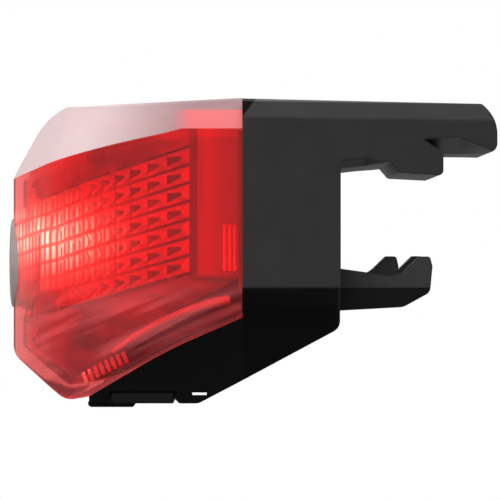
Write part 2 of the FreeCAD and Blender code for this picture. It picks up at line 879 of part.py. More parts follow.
def battery_hatch():
    front = -size.hatch_front_reach
    top = hatch_top() - size.hatch_gap
    rear = -size.hinge_reach - size.knuckle_radius - size.knuckle_gap
    plate_profile = [
        (front, top, 0.3),
        (front, -size.chin_depth, 0.5),
        (rear, -size.chin_depth, 0),
        (rear, top, 0),
    ]
    plate = prism(plate_profile, side_view, Y_AXIS, -size.hatch_half_width, size.hatch_half_width)
    bridge = box((rear - 0.01, -size.knuckle_half_length, -size.chin_depth),
                 (-size.hinge_reach, size.knuckle_half_length, top - 0.2))
    knuckle = hinge_axis_rod(size.knuckle_radius, -size.knuckle_half_length, size.knuckle_half_length)
    bore = hinge_axis_rod(size.hinge_pin_radius + size.hinge_running_gap, -BEYOND, BEYOND)
    hatch = plate.fuse(bridge).fuse(knuckle).fuse(thumb_foot()).cut(bore)
    return hatch.cut(hatch_seal_ring())


def thumb_foot():
    # rounded bar under the hatch that reaches forwards under the rim of the chin as a thumb lip
    front = -size.foot_front_reach
    low = -size.chin_depth - size.foot_drop
    rim_clearance = -size.chin_depth - size.hatch_gap
    bar = [
        (front, rim_clearance, 0),
        (front, low, 0.4),
        (-size.foot_rear_reach, low, 0.3),
        (-size.foot_rear_reach, -size.chin_depth + 0.3, 0),
        (-size.hatch_front_reach, -size.chin_depth + 0.3, 0),
        (-size.hatch_front_reach, rim_clearance, 0),
    ]
    return prism(bar, side_view, Y_AXIS, -size.foot_half_width, size.foot_half_width)


def hatch_seal_ring():
    # rectangular gasket round the aperture, let into the top of the hatch
    margin = 0.4
    rear_width = size.hatch_seal_width / 2
    front = -cell_front_reach() - size.aperture_gap - margin
    rear = -size.cell_rear_reach + size.aperture_gap + rear_width + 0.05
    half_width = size.aperture_half_width + margin
    top = hatch_top()
    low = top - size.hatch_seal_height - size.hatch_gap
    outer = box((front - size.hatch_seal_width, -half_width - size.hatch_seal_width, low),
                (rear, half_width + size.hatch_seal_width, top))
    inner = box((front, -half_width, low - 1), (rear - rear_width, half_width, top + 1))
    return outer.cut(inner)


# Lens and optic

def lens():
    shell = lens_form().cut(lens_form(size.lens_wall, is_open=True))
    collar = rod(size.collar_radius, -size.nose_reach + size.lens_wall / 2, -size.collar_reach, 0, -size.button_depth)
    shell = shell.fuse(collar.common(lens_form()))
    bore = rod(size.button_radius + size.button_gap, -BEYOND, -size.collar_reach + 1, 0, -size.button_depth)
    shell = shell.cut(bore)
    return shell.cut(seal_ring().common(seal_band(0.0, size.seal_height / 2)))


def optic_insert():
    # wrap-around band of pyramid prisms: smooth outside, one pyramid per cell inside
    columns = int(size.prism_columns)
    rows = int(size.prism_rows)
    corners = even_inset(lens_plan(BEYOND), size.lens_wall + size.optic_gap)
    rear = -size.optic_rear_reach
    corners[0] = (rear, corners[0][1], 0)
    corners[-1] = (rear, corners[-1][1], 0)
    path = rounded_outline(corners, plan_view, closed=False)
    outer = path.discretize(Number=columns + 1)

    def inward(index):
        before = outer[max(index - 1, 0)]
        after = outer[min(index + 1, columns)]
        along = (after - before).normalize()
        return Vector(along.y, -along.x, 0)

    facing = 1 if inward(columns // 2).x > 0 else -1
    inner = [outer[index] + inward(index) * facing * size.optic_wall for index in range(columns + 1)]
    inner[0].x = rear
    inner[columns].x = rear

    def raised(point, share):
        run = -size.optic_rear_reach - point.x
        top = size.optic_top_height - size.optic_top_slope * run
        bottom = -size.optic_bottom_depth - size.optic_bottom_slope * run
        return Vector(point.x, point.y, bottom + (top - bottom) * share)

    grid = [[raised(point, row / rows) for row in range(rows + 1)] for point in inner]
    faces = []

    def polygon(points):
        faces.append(Part.Face(Part.makePolygon(points + [points[0]])))

    for column in range(columns):
        low_left, low_right = raised(outer[column], 0), raised(outer[column + 1], 0)
        high_left, high_right = raised(outer[column], 1), raised(outer[column + 1], 1)
        polygon([low_left, low_right, high_right, high_left])
        polygon([high_left, high_right, grid[column + 1][rows], grid[column][rows]])
        polygon([low_left, low_right, grid[column + 1][0], grid[column][0]])
        normal = (inward(column) + inward(column + 1)).normalize() * facing
        for row in range(rows):
            cell = [grid[column][row], grid[column + 1][row], grid[column + 1][row + 1], grid[column][row + 1]]
            middle = (cell[0] + cell[1] + cell[2] + cell[3]) * 0.25
            apex = middle + normal * size.prism_depth
            for index in range(4):
                polygon([cell[index], cell[(index + 1) % 4], apex])
    for column in (0, columns):
        edge = [raised(outer[column], 0), raised(outer[column], 1)]
        polygon(edge + [grid[column][row] for row in range(rows, -1, -1)])
    shell = Part.makeShell(faces)
    shell.sewShape()
    band = Part.makeSolid(shell)
    if band.Volume < 0:
        band.reverse()
    window_half_width = size.boot_radius + size.optic_ring_gap
    ring = octagon_bar(window_half_width + size.optic_wall, -size.nose_reach, -size.collar_reach + size.boot_height)
    ring = ring.common(lens_form(size.lens_wall + size.optic_gap, is_open=True))
    window = octagon_bar(window_half_width, -BEYOND, 0)
    return band.fuse(ring).cut(window)


def octagon_bar(half_width, start, end):
    # eight-sided bar about the axis of the button
    corner = half_width * math.tan(math.radians(22.5))
    outline = []
    for u, v in ((half_width, corner), (corner, half_width)):
        outline += [(u, v), (-u, v), (-u, -v), (u, -v)]
    outline.sort(key=lambda point: math.atan2(point[1], point[0]))
    corners = [(u, v - size.button_depth, 0) for u, v in outline]
    return prism(corners, end_view, X_AXIS, start, end)


def above_seam(gap):
    # everything above and in front of the seam by at least gap
    seam = [
        (-size.seam_reach, BEYOND, 0),
        (-size.seam_reach, -size.seam_foot_depth, 0),
        (-size.seam_bend_reach, -size.seam_bend_depth, size.seam_bend_radius),
        (-size.chin_front_reach, -size.chin_front_depth, 0),
        (-BEYOND, -size.chin_front_depth, 0),
        (-BEYOND, BEYOND, 0),
    ]
    insets = [size.tray_rear_reach - size.seam_reach, gap, gap, 0, 0, 0]
    return prism(inset_corners(seam, insets), side_view, Y_AXIS, -BEYOND, BEYOND)


def optic_window():
    # wedge between the sloping upper and lower edges of the optic, in front of its rear edge
    gap = size.tray_window_gap
    rear = -size.optic_rear_reach
    run = BEYOND - size.optic_rear_reach
    top = size.optic_top_height + gap
    low = -size.optic_bottom_depth - gap
    corners = [
        (rear, top, 0),
        (rear, low, 0),
        (-BEYOND, low - size.optic_bottom_slope * run, 0),
        (-BEYOND, top - size.optic_top_slope * run, 0),
    ]
    return prism(corners, side_view, Y_AXIS, -BEYOND, BEYOND)


def light_tray():
    # red shell that lines the lens round the optic, with a plate across it behind the optic
    inset = size.lens_wall + size.tray_gap
    outer = lens_form(inset, is_open=True, is_plain=True)
    inner = lens_form(inset + size.tray_wall, is_open=True, is_plain=True)
    shell = outer.cut(inner).cut(optic_window())
    plate_front = -size.optic_rear_reach
    plate_low = -size.optic_bottom_depth - size.plate_drop
    plate = box((plate_front, -BEYOND, plate_low), (plate_front + size.tray_plate, BEYOND, BEYOND))
    shell = shell.fuse(plate.common(outer))
    shell = shell.common(above_seam(size.tray_seam_gap))
    nose_clearance = size.boot_radius + size.optic_ring_gap + size.optic_wall + size.tray_window_gap
    shell = shell.cut(octagon_bar(nose_clearance, -BEYOND, -size.board_reach))
    for y, z in boss_places():
        shell = shell.cut(rod(size.tray_screw_radius + 0.15, plate_front - 1, plate_front + 2, y, z))
    return shell


# Light, board and switch

def screw(head_reach, radius, length, y, z):
    # screw with a flat head and one slot, whose head bears on a face at head_reach
    head_front = -head_reach - size.screw_head_height
    head = rod(size.screw_head_radius, head_front, -head_reach, y, z)
    shank = rod(radius, -head_reach, -head_reach + length, y, z)
    slot = box((head_front, y - size.screw_head_radius, z - size.slot_width / 2),
               (head_front + size.slot_depth, y + size.screw_head_radius, z + size.slot_width / 2))
    return head.fuse(shank).cut(slot)


def clip_notch(side):
    # opening for a board clip, from the floor of the notch in the board to outside the clip
    inner = f"{side}(dims.board_half_width - dims.clip_hook)"
    outer = f"{side}(dims.board_half_width + dims.clip_thickness)"
    half = "dims.clip_height / 2 + dims.clip_gap"
    return [(inner, f"-({half})"), (outer, f"-({half})"), (outer, half), (inner, half)]


def led_board():
    body = new_body("led_board")
    outline = new_sketch(body, "YZ_Plane", "-dims.board_reach")
    draw_rectangle(outline, "dims.board_half_width", "-dims.board_bottom_depth", "dims.board_top_height")
    pad(body, outline, "dims.board_thickness")
    notches = new_sketch(body, "YZ_Plane", "-dims.board_reach")
    for side in ("", "-"):
        draw_polygon(notches, clip_notch(side))
    pocket(body, notches, "dims.board_thickness", backwards=True)
    return add_body(body)


def reflector_plate():
    # sheet in front of the board with openings for lamps, switch and clips, and a wing at each end
    body = new_body("reflector_plate")
    outline = new_sketch(body, "YZ_Plane", "-dims.board_reach")
    draw_rectangle(outline, "dims.reflector_half_width", "-dims.reflector_bottom_depth",
                   "dims.reflector_top_height")
    pad(body, outline, "dims.reflector_thickness", backwards=True)
    holes = new_sketch(body, "YZ_Plane", "-dims.board_reach")
    for side in ("", "-"):
        draw_circle(holes, f"{side}dims.led_spread", "-dims.led_depth",
                    "dims.led_flange_radius + dims.reflector_hole_gap")
        draw_polygon(holes, clip_notch(side))
    half_switch = "dims.switch_size / 2 + dims.reflector_hole_gap"
    draw_rectangle(holes, half_switch, f"-dims.button_depth - ({half_switch})",
                   f"-dims.button_depth + {half_switch}")
    pocket(body, holes, "dims.reflector_thickness")
    wings = new_sketch(body, "YZ_Plane", "-dims.board_reach - dims.reflector_thickness")
    for side in ("", "-"):
        outer = f"{side}dims.reflector_half_width"
        inner = f"{side}(dims.reflector_half_width - dims.reflector_thickness)"
        low = "-dims.reflector_bottom_depth + dims.wing_corner"
        high = "dims.reflector_top_height - dims.wing_corner"
        draw_polygon(wings, [(inner, low), (outer, low), (outer, high), (inner, high)])
    pad(body, wings, "dims.board_reach + dims.reflector_thickness - dims.reflector_rear_reach")
    return add_body(body)


def led(label, side):
    # round lamp with a flange and a dome, the dome drawn as rings of equal steps
    body = new_body(label)
    flange_face = "-dims.board_reach - dims.led_flange_height"
    dome_foot = "-dims.board_reach - dims.led_length + dims.led_radius"
    corners = [
        ("-dims.board_reach", "0"),
        ("-dims.board_reach", "dims.led_flange_radius"),
        (flange_face, "dims.led_flange_radius"),
        (flange_face, "dims.led_radius"),
    ]
    for step in range(3):
        angle = step * 45
        corners.append((f"{dome_foot} - dims.led_radius * sin({angle} deg)",
                        f"dims.led_radius * cos({angle} deg)" if angle < 90 else "0"))
    revolve_profile(body, corners, "-dims.led_depth")
    body.setExpression("Placement.Base.y", f"{side}dims.led_spread")
    return add_body(body)


def tactile_switch():
    body = new_body("tactile_switch")
    outline = new_sketch(body, "YZ_Plane", "-dims.board_reach")
    half = "dims.switch_size / 2"
    draw_rectangle(outline, half, f"-dims.button_depth - {half}", f"-dims.button_depth + {half}")
    base = pad(body, outline, "dims.switch_height", backwards=True)
    rounded = round_edges(body, base, edges_along(base.Shape, X_AXIS), "0.5")
    body.Tip = rounded
    guide = new_sketch(body, "YZ_Plane", "-dims.board_reach - dims.switch_height")
    draw_circle(guide, "0", "-dims.button_depth", "dims.plunger_radius + 0.05")
    pocket(body, guide, "dims.plunger_root + dims.button_travel", backwards=True)
    return add_body(body)


def switch_plunger():
    body = new_body("switch_plunger")
    outline = new_sketch(body, "YZ_Plane", "-dims.board_reach - dims.switch_height + dims.plunger_root")
    draw_circle(outline, "0", "-dims.button_depth", "dims.plunger_radius")
    pad(body, outline, "dims.plunger_root + dims.plunger_height", backwards=True)
    return add_body(body)


def push_button():
    body = new_body("push_button")
    front = "-dims.nose_reach - dims.button_proud"
    back = f"{front} + dims.button_thickness"
    corners = [
        (front, "0"),
        (front, "dims.button_radius - dims.button_edge"),
        (f"{front} + dims.button_edge", "dims.button_radius"),
        (back, "dims.button_radius"),
        (back, "0"),
    ]
    revolve_profile(body, corners, "-dims.button_depth")
    return add_body(body)


def button_stem():
    # carrier behind the button: a barrel, the flange that stops it, and the stem to the switch
    body = new_body("button_stem")
    front = "-dims.nose_reach - dims.button_proud + dims.button_thickness"
    collar = "-dims.collar_reach"
    tip = "-dims.board_reach - dims.switch_height - dims.plunger_height"
    corners = [
        (front, "0"),
        (front, "dims.button_radius"),
        (collar, "dims.button_radius"),
        (collar, "dims.flange_radius"),
        (f"{collar} + dims.flange_height", "dims.flange_radius"),
        (f"{collar} + dims.flange_height", "dims.stem_radius"),
        (tip, "dims.stem_radius"),
        (tip, "0"),
    ]
    revolve_profile(body, corners, "-dims.button_depth")
    return add_body(body)


def button_boot():
    # soft cup round the flange: a rim against the collar and a floor round the stem
    body = new_body("button_boot")
    front = "-dims.collar_reach"
    back = "-dims.collar_reach + dims.boot_height"
    corners = [
        (front, "dims.boot_radius - dims.boot_wall"),
        (front, "dims.boot_radius"),
        (back, "dims.boot_radius"),
        (back, "dims.stem_radius + dims.boot_stem_gap"),
        (f"{back} - dims.boot_wall", "dims.stem_radius + dims.boot_stem_gap"),
        (f"{back} - dims.boot_wall", "dims.boot_radius - dims.boot_wall"),
    ]
    revolve_profile(body, corners, "-dims.button_depth")
    return add_body(body)


def board_chip(label, width, height, thickness, centre, base):
    block = doc.addObject("Part::Box", label)
    block.Label = label
    block.setExpression("Length", thickness)
    block.setExpression("Width", width)
    block.setExpression("Height", height)
    block.setExpression("Placement.Base.x", "-dims.board_reach + dims.board_thickness")
    block.setExpression("Placement.Base.y", f"{centre} - ({width}) / 2")
    block.setExpression("Placement.Base.z", base)
    doc.recompute()
    parts.append(block)
    return block


def resistors():
    chips = []
    back = -size.board_reach + size.board_thickness
    for index in range(3):
        y = size.resistor_start + index * size.resistor_pitch
        chips.append(box((back, y, size.chip_base_height),
                         (back + size.resistor_thickness, y + size.resistor_width,
                          size.chip_base_height + size.resistor_length)))
    return Part.makeCompound(chips)


# Coin cell, holder and contacts

def cell_height():
    return hatch_top() + size.cell_gap + size.cell_radius


def coin_cell():
    body = new_body("coin_cell")
    front = ("-dims.board_reach + dims.board_thickness + dims.holder_front_wall + dims.cell_gap")
    axis = "-dims.chin_depth + dims.hatch_thickness + dims.cell_gap + dims.cell_radius"
    corners = [
        (front, "0"),
        (front, "dims.cell_cap_radius"),
        (f"{front} + dims.cell_cap_height", "dims.cell_radius"),
        (f"{front} + dims.cell_thickness", "dims.cell_radius"),
        (f"{front} + dims.cell_thickness", "0"),
    ]
    revolve_profile(body, corners, axis)
    return add_body(body)


def cell_holder():
    # block with a pocket for the upright coin cell, open at the bottom
    front = -size.board_reach + size.board_thickness
    rear = -size.optic_rear_reach
    floor = -size.chin_depth + size.hatch_thickness + size.chin_floor
    block = box((front, -size.holder_half_width, floor), (rear, size.holder_half_width, size.holder_top_height))
    block = block.common(lens_form(size.lens_wall + 0.3, is_open=True))
    pocket_front = -cell_front_reach() - size.cell_gap
    pocket_rear = -size.cell_rear_reach + size.cell_gap
    radius = size.cell_radius + size.cell_gap * 2
    centre = cell_height()
    hollow = rod(radius, pocket_front, pocket_rear, 0, centre)
    hollow = hollow.fuse(box((pocket_front, -radius, -BEYOND), (pocket_rear, radius, centre)))
    block = block.cut(hollow)
    half_slot = size.contact_width / 2 + size.contact_slot_gap
    window_top = -size.negative_depth + size.negative_length / 2 + size.contact_slot_gap
    window_low = -size.negative_depth - size.negative_length / 2 - size.contact_slot_gap
    block = block.cut(box((front - 1, -half_slot, window_low), (pocket_front + 0.01, half_slot, window_top)))
    top_slot = box((front - 1, -half_slot, size.holder_top_height - size.contact_thickness),
                   (pocket_rear + size.contact_thickness, half_slot, size.holder_top_height + 1))
    back_slot = box((pocket_rear - 0.01, -half_slot, size.holder_top_height - size.positive_drop),
                    (pocket_rear + size.contact_thickness, half_slot, size.holder_top_height + 1))
    block = block.cut(top_slot).cut(back_slot)
    left, right = both_sides(board_clip())
    return block.fuse(left).fuse(right)


def board_clip():
    # hooked finger at the side of the board, in a notch of the board's edge
    board_front = -size.board_reach - size.reflector_thickness - size.clip_gap
    root = -size.board_reach + size.board_thickness
    side = size.board_half_width - size.clip_hook + size.clip_gap
    half_height = size.clip_height / 2
    finger = box((board_front - size.clip_hook_reach, side, -half_height),
                 (root + NEGLIGIBLE, side + size.clip_thickness, half_height))
    hook_side = side - size.clip_hook
    hook = box((board_front - size.clip_hook_reach, hook_side, -half_height),
               (board_front, side + size.clip_thickness, half_height))
    foot = box((root, hook_side, -half_height), (root + size.clip_thickness, size.holder_half_width, half_height))
    return finger.fuse(hook).fuse(foot)


def positive_contact():
    # strip over the top of the holder and down behind the cell
    half = size.contact_width / 2
    front = -size.board_reach + size.board_thickness
    back = -size.cell_rear_reach + size.cell_gap
    top = size.holder_top_height
    strip = box((front, -half, top - size.contact_thickness), (back + size.contact_thickness, half, top))
    leg = box((back, -half, top - size.positive_drop + 0.2), (back + size.contact_thickness, half, top))
    bump = Part.makeCylinder(0.9, size.cell_gap, Vector(back - size.cell_gap, 0, top - size.positive_drop + 1.5), X_AXIS)
    return strip.fuse(leg).fuse(bump)


def negative_contact():
    # bowed spring strip that fills the window between board and cell
    half = size.contact_width / 2
    front = -size.board_reach + size.board_thickness
    cell_face = -cell_front_reach()
    low = -size.negative_depth - size.negative_length / 2
    high = -size.negative_depth + size.negative_length / 2
    middle = -size.negative_depth
    thickness = size.contact_thickness
    bow = cell_face - thickness
    corners = [
        (front, low, 0), (front + thickness, low, 0), (cell_face, middle - 0.8, 0), (cell_face, middle + 0.8, 0),
        (front + thickness, high, 0), (front, high, 0), (front, high - 0.8, 0), (bow, middle + 0.6, 0),
        (bow, middle - 0.6, 0), (front, low + 0.8, 0),
    ]
    return prism(corners, side_view, Y_AXIS, -half, half)


def hinge_pin():
    pin = doc.addObject("Part::Cylinder", "hatch_pin")
    pin.Label = "hatch_pin"
    pin.setExpression("Radius", "dims.hinge_pin_radius")
    pin.setExpression("Height", "2 * dims.pin_half_length")
    pin.setExpression("Placement.Base.x", "-dims.hinge_reach")
    pin.setExpression("Placement.Base.y", "-dims.pin_half_length")
    pin.setExpression("Placement.Base.z", "-dims.hinge_depth")
    pin.Placement.Rotation = FreeCAD.Rotation(X_AXIS, -90)
    doc.recompute()
    parts.append(pin)
    return pin


def build():
    add_shape("rear_housing", rear_housing())
    add_shape("lens", lens())
    add_shape("lens_seal", seal_ring().common(seal_band(size.seal_height / 2, size.seal_height / 2)))
    add_shape("optic_insert", optic_insert())
    add_shape("light_tray", light_tray())
    tray_screws = [screw(size.optic_rear_reach, size.tray_screw_radius, size.tray_screw_length, y, z)
                   for y, z in boss_places()]
    add_shape("tray_screws", Part.makeCompound(tray_screws))
    led_board()
    reflector_plate()
    led("led_left", "-")
    led("led_right", "")
    board_chip("controller_chip", "dims.chip_width", "dims.chip_height", "dims.chip_thickness",
               "0", "dims.chip_base_height")
    board_chip("capacitor", "dims.capacitor_length", "dims.capacitor_width", "dims.capacitor_thickness",
               "-dims.capacitor_centre", "dims.chip_base_height")
    add_shape("resistors", resistors())
    tactile_switch()
    switch_plunger()
    push_button()
    button_stem()
    button_boot()
    coin_cell()
    add_shape("cell_holder", cell_holder())
    add_shape("positive_contact", positive_contact())
    add_shape("negative_contact", negative_contact())
    add_shape("battery_hatch", battery_hatch())
    hinge_pin()
    add_shape("hatch_seal", hatch_seal_ring())


def check_and_export():
    doc.recompute()
    for thing in doc.Objects:
        if "Invalid" in thing.State or "Error" in thing.State:
            raise ValueError(f"{thing.Label} did not build: {thing.State}")
    os.makedirs("parts", exist_ok=True)
    for part in parts:
        shape = part.Shape
        if shape.isNull() or not shape.isValid():
            raise ValueError(f"{part.Label} has no valid shape")
        print(part.Label, len(shape.Solids), "solid", round(shape.Volume, 3), "mm3")
    for part in parts:
        part.Shape.exportStep(f"parts/{part.Label}.step")


build()
check_and_export()
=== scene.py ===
import bpy
import math
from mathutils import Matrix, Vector


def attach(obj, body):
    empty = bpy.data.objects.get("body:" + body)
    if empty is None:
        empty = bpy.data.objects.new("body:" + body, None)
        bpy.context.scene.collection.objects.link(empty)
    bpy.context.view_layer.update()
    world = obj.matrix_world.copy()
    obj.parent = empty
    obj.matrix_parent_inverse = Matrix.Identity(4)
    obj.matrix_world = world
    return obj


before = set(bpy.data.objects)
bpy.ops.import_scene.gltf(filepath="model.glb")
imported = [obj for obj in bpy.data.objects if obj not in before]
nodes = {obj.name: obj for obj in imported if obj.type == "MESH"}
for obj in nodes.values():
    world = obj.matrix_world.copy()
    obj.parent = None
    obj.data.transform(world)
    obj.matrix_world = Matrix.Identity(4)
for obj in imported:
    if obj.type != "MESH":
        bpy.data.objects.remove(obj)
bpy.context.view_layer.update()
print("frame loaded:", len(nodes), "nodes")

mm = 0.001


def newMaterial(name):
    mat = bpy.data.materials.new(name)
    mat.use_nodes = True
    tree = mat.node_tree
    bsdf = tree.nodes["Principled BSDF"]
    coords = tree.nodes.new("ShaderNodeTexCoord")
    return mat, tree, bsdf, coords.outputs["Object"]


def showSurface(tree, shader):
    tree.links.new(shader, tree.nodes["Material Output"].inputs["Surface"])


def addNoise(tree, coords, scale, detail=3.0, roughness=0.5):
    noise = tree.nodes.new("ShaderNodeTexNoise")
    noise.inputs["Scale"].default_value = scale
    noise.inputs["Detail"].default_value = detail
    noise.inputs["Roughness"].default_value = roughness
    tree.links.new(coords, noise.inputs["Vector"])
    return noise.outputs["Fac"]


def addClouds(tree, coords, stretch, detail=2.0, roughness=0.5):
    # noise with a scale of its own along each axis
    mapping = tree.nodes.new("ShaderNodeMapping")
    mapping.inputs["Scale"].default_value = stretch
    tree.links.new(coords, mapping.inputs["Vector"])
    return addNoise(tree, mapping.outputs["Vector"], 1.0, detail, roughness)


def addMottle(tree, noise, colour, first, second, ends=(0.3, 0.7)):
    # from one shade of the colour to another as the noise rises between the two ends
    ramp = tree.nodes.new("ShaderNodeValToRGB")
    for element, end, factor in zip(ramp.color_ramp.elements, ends, (first, second)):
        element.position = end
        element.color = (*[min(1.0, part * factor) for part in colour], 1)
    tree.links.new(noise, ramp.inputs["Fac"])
    return ramp.outputs["Color"]


def addRange(tree, factor, low, high):
    spread = tree.nodes.new("ShaderNodeMapRange")
    spread.inputs["To Min"].default_value = low
    spread.inputs["To Max"].default_value = high
    tree.links.new(factor, spread.inputs["Value"])
    return spread.outputs["Result"]


def addStep(tree, value, low, high):
    # runs smoothly from 0 at low to 1 at high
    spread = tree.nodes.new("ShaderNodeMapRange")
    spread.interpolation_type = "SMOOTHSTEP"
    spread.inputs["From Min"].default_value = low
    spread.inputs["From Max"].default_value = high
    tree.links.new(value, spread.inputs["Value"])
    return spread.outputs["Result"]


roundingSamples = 6


def addBump(tree, bsdf, height, distance, strength, softEdge=0.0):
    bump = tree.nodes.new("ShaderNodeBump")
    if softEdge > 0:
        rounding = tree.nodes.new("ShaderNodeBevel")
        rounding.samples = roundingSamples
        rounding.inputs["Radius"].default_value = softEdge
        tree.links.new(rounding.outputs["Normal"], bump.inputs["Normal"])
    bump.inputs["Distance"].default_value = distance
    bump.inputs["Strength"].default_value = strength
    tree.links.new(height, bump.inputs["Height"])
    tree.links.new(bump.outputs["Normal"], bsdf.inputs["Normal"])


def addMath(tree, operation, first, second=0.0, third=0.0):
    # a maths node whose inputs are sockets or plain numbers
    node = tree.nodes.new("ShaderNodeMath")
    node.operation = operation
    for slot, value in enumerate((first, second, third)):
        if isinstance(value, (int, float)):
            node.inputs[slot].default_value = value
        else:
            tree.links.new(value, node.inputs[slot])
    return node.outputs[0]


def splitVector(tree, vector):
    split = tree.nodes.new("ShaderNodeSeparateXYZ")
    tree.links.new(vector, split.inputs[0])
    return split.outputs


def sideView(tree, coords):
    # where a place lies as seen from the side: x along the light and z up
    parts = splitVector(tree, coords)
    return parts[0], parts[2]


def addUpward(tree):
    # how far the surface looks up, 1 where it lies flat
    geometry = tree.nodes.new("ShaderNodeNewGeometry")
    return splitVector(tree, geometry.outputs["Normal"])[2]


def mixColours(tree, factor, first, second):
    # the mix node's two colours are its sockets 6 and 7
    mix = tree.nodes.new("ShaderNodeMix")
    mix.data_type = "RGBA"
    tree.links.new(factor, mix.inputs[0])
    for slot, value in ((6, first), (7, second)):
        if isinstance(value, tuple):
            mix.inputs[slot].default_value = (*value, 1)
        else:
            tree.links.new(value, mix.inputs[slot])
    return mix.outputs[2]


def mixShaders(tree, factor, first, second):
    mix = tree.nodes.new("ShaderNodeMixShader")
    if isinstance(factor, float):
        mix.inputs[0].default_value = factor
    else:
        tree.links.new(factor, mix.inputs[0])
    tree.links.new(first, mix.inputs[1])
    tree.links.new(second, mix.inputs[2])
    return mix.outputs[0]


def addShaders(tree, first, second):
    add = tree.nodes.new("ShaderNodeAddShader")
    tree.links.new(first, add.inputs[0])
    tree.links.new(second, add.inputs[1])
    return add.outputs[0]


def addAway(tree, x, z, middle, reach):
    # squared distance from a place in side view, 1 at its reach
    along = addMath(tree, "DIVIDE", addMath(tree, "SUBTRACT", x, middle[0]), reach[0])
    up = addMath(tree, "DIVIDE", addMath(tree, "SUBTRACT", z, middle[1]), reach[1])
    return addMath(tree, "ADD", addMath(tree, "MULTIPLY", along, along), addMath(tree, "MULTIPLY", up, up))


mouldGrain = {"mottleDetail": 4.0, "mottleRoughness": 0.6, "darker": 0.86, "paler": 1.14,
              "grainDetail": 2.0, "grainRoughness": 0.55, "glossSpread": 0.05}


# painted shade on the housing's black: below the shoulder of its box, in the mitre at the seam, on faces
# that look down and a little on faces that look up
def housingPaintedShade(tree, coords, look):
    x, z = sideView(tree, coords)
    low = addStep(tree, z, look["dimFrom"], look["dimTo"])
    front = addStep(tree, x, look["dimFront"], -look["dimFront"])
    mitreEdge = addMath(tree, "MULTIPLY_ADD", z, look["mitreSlope"], look["mitreStart"])
    mitre = addMath(tree, "MULTIPLY", addMath(tree, "LESS_THAN", x, mitreEdge),
                    addMath(tree, "GREATER_THAN", z, look["mitreBase"]))
    upward = addUpward(tree)
    under = addMath(tree, "MULTIPLY", addStep(tree, upward, *look["underTurn"]), look["underShade"])
    above = addMath(tree, "MULTIPLY", addStep(tree, upward, *look["topTurn"]), look["topShade"])
    paintedShade = addMath(tree, "MAXIMUM", addMath(tree, "MULTIPLY", low, front), mitre)
    return addMath(tree, "MAXIMUM", addMath(tree, "MAXIMUM", paintedShade, under), above)


# moulded plastic: faint mottling, spark-eroded grain, slightly uneven gloss
def mouldedPlastic(name, look):
    mat, tree, bsdf, coords = newMaterial(name)
    mottle = addNoise(tree, coords, look["mottleScale"], mouldGrain["mottleDetail"],
                      mouldGrain["mottleRoughness"])
    colour = addMottle(tree, mottle, look["colour"], mouldGrain["darker"], mouldGrain["paler"])
    grain = addNoise(tree, coords, look["grainScale"], mouldGrain["grainDetail"],
                     mouldGrain["grainRoughness"])
    rough = addRange(tree, grain, look["roughness"] - mouldGrain["glossSpread"],
                     look["roughness"] + mouldGrain["glossSpread"])
    tree.links.new(rough, bsdf.inputs["Roughness"])
    addBump(tree, bsdf, grain, look["grainDepth"], look["grainStrength"], look.get("softEdge", 0.0))
    bsdf.inputs["Specular IOR Level"].default_value = look["shine"]
    # painted shade on the housing: its colour and its shine turn darker where the mask says
    if "paintedShadeColour" in look:
        paintedShade = housingPaintedShade(tree, coords, look)
        colour = mixColours(tree, paintedShade, colour, look["paintedShadeColour"])
        shine = addMath(tree, "MULTIPLY_ADD", paintedShade, look["paintedShadeShine"] - look["shine"], look["shine"])
        tree.links.new(shine, bsdf.inputs["Specular IOR Level"])
    tree.links.new(colour, bsdf.inputs["Base Color"])
    return mat


clearTint = {"mottleScale": 180.0, "mottleDetail": 2.0, "mottleRoughness": 0.5,
             "darker": 0.97, "paler": 1.03, "coatRoughness": 0.03}


# tinted clear plastic that lets lamps through, with a thin polished skin
def tintedClear(name, look):
    mat, tree, bsdf, coords = newMaterial(name)
    mottle = addNoise(tree, coords, clearTint["mottleScale"], clearTint["mottleDetail"],
                      clearTint["mottleRoughness"])
    colour = addMottle(tree, mottle, look["colour"], clearTint["darker"], clearTint["paler"])
    tree.links.new(colour, bsdf.inputs["Base Color"])
    bsdf.inputs["Transmission Weight"].default_value = 1.0
    bsdf.inputs["Roughness"].default_value = look["roughness"]
    bsdf.inputs["IOR"].default_value = look["ior"]
    bsdf.inputs["Coat Weight"].default_value = look["coat"]
    bsdf.inputs["Coat IOR"].default_value = look["coatIor"]
    bsdf.inputs["Coat Roughness"].default_value = clearTint["coatRoughness"]
    clear = tree.nodes.new("ShaderNodeBsdfTransparent")
    tree.links.new(colour, clear.inputs["Color"])
    path = tree.nodes.new("ShaderNodeLightPath")
    surface = mixShaders(tree, path.outputs["Is Shadow Ray"], bsdf.outputs[0], clear.outputs[0])
    showSurface(tree, surface)
    return mat, tree, coords, surface


fan = {"rearX": -15 * mm, "topSlope": -0.335, "topZ": 7.3 * mm,
       "lowSlope": -0.27, "lowZ": -5.3 * mm, "rows": 7.0}


# place within the fan of prism rows: the share of its height, 0 at the lower and 1 at the upper edge, the
# row, and how near a line between rows is, 0 in the middle of a row and 0.5 on the line
def fanRows(tree, x, z):
    ahead = addMath(tree, "SUBTRACT", fan["rearX"], x)
    top = addMath(tree, "MULTIPLY_ADD", ahead, fan["topSlope"], fan["topZ"])
    low = addMath(tree, "MULTIPLY_ADD", ahead, fan["lowSlope"], fan["lowZ"])
    share = addMath(tree, "DIVIDE", addMath(tree, "SUBTRACT", z, low), addMath(tree, "SUBTRACT", top, low))
    rows = addMath(tree, "MULTIPLY", share, fan["rows"])
    nearLine = addMath(tree, "ABSOLUTE", addMath(tree, "SUBTRACT", addMath(tree, "FRACT", rows), 0.5))
    return share, rows, nearLine


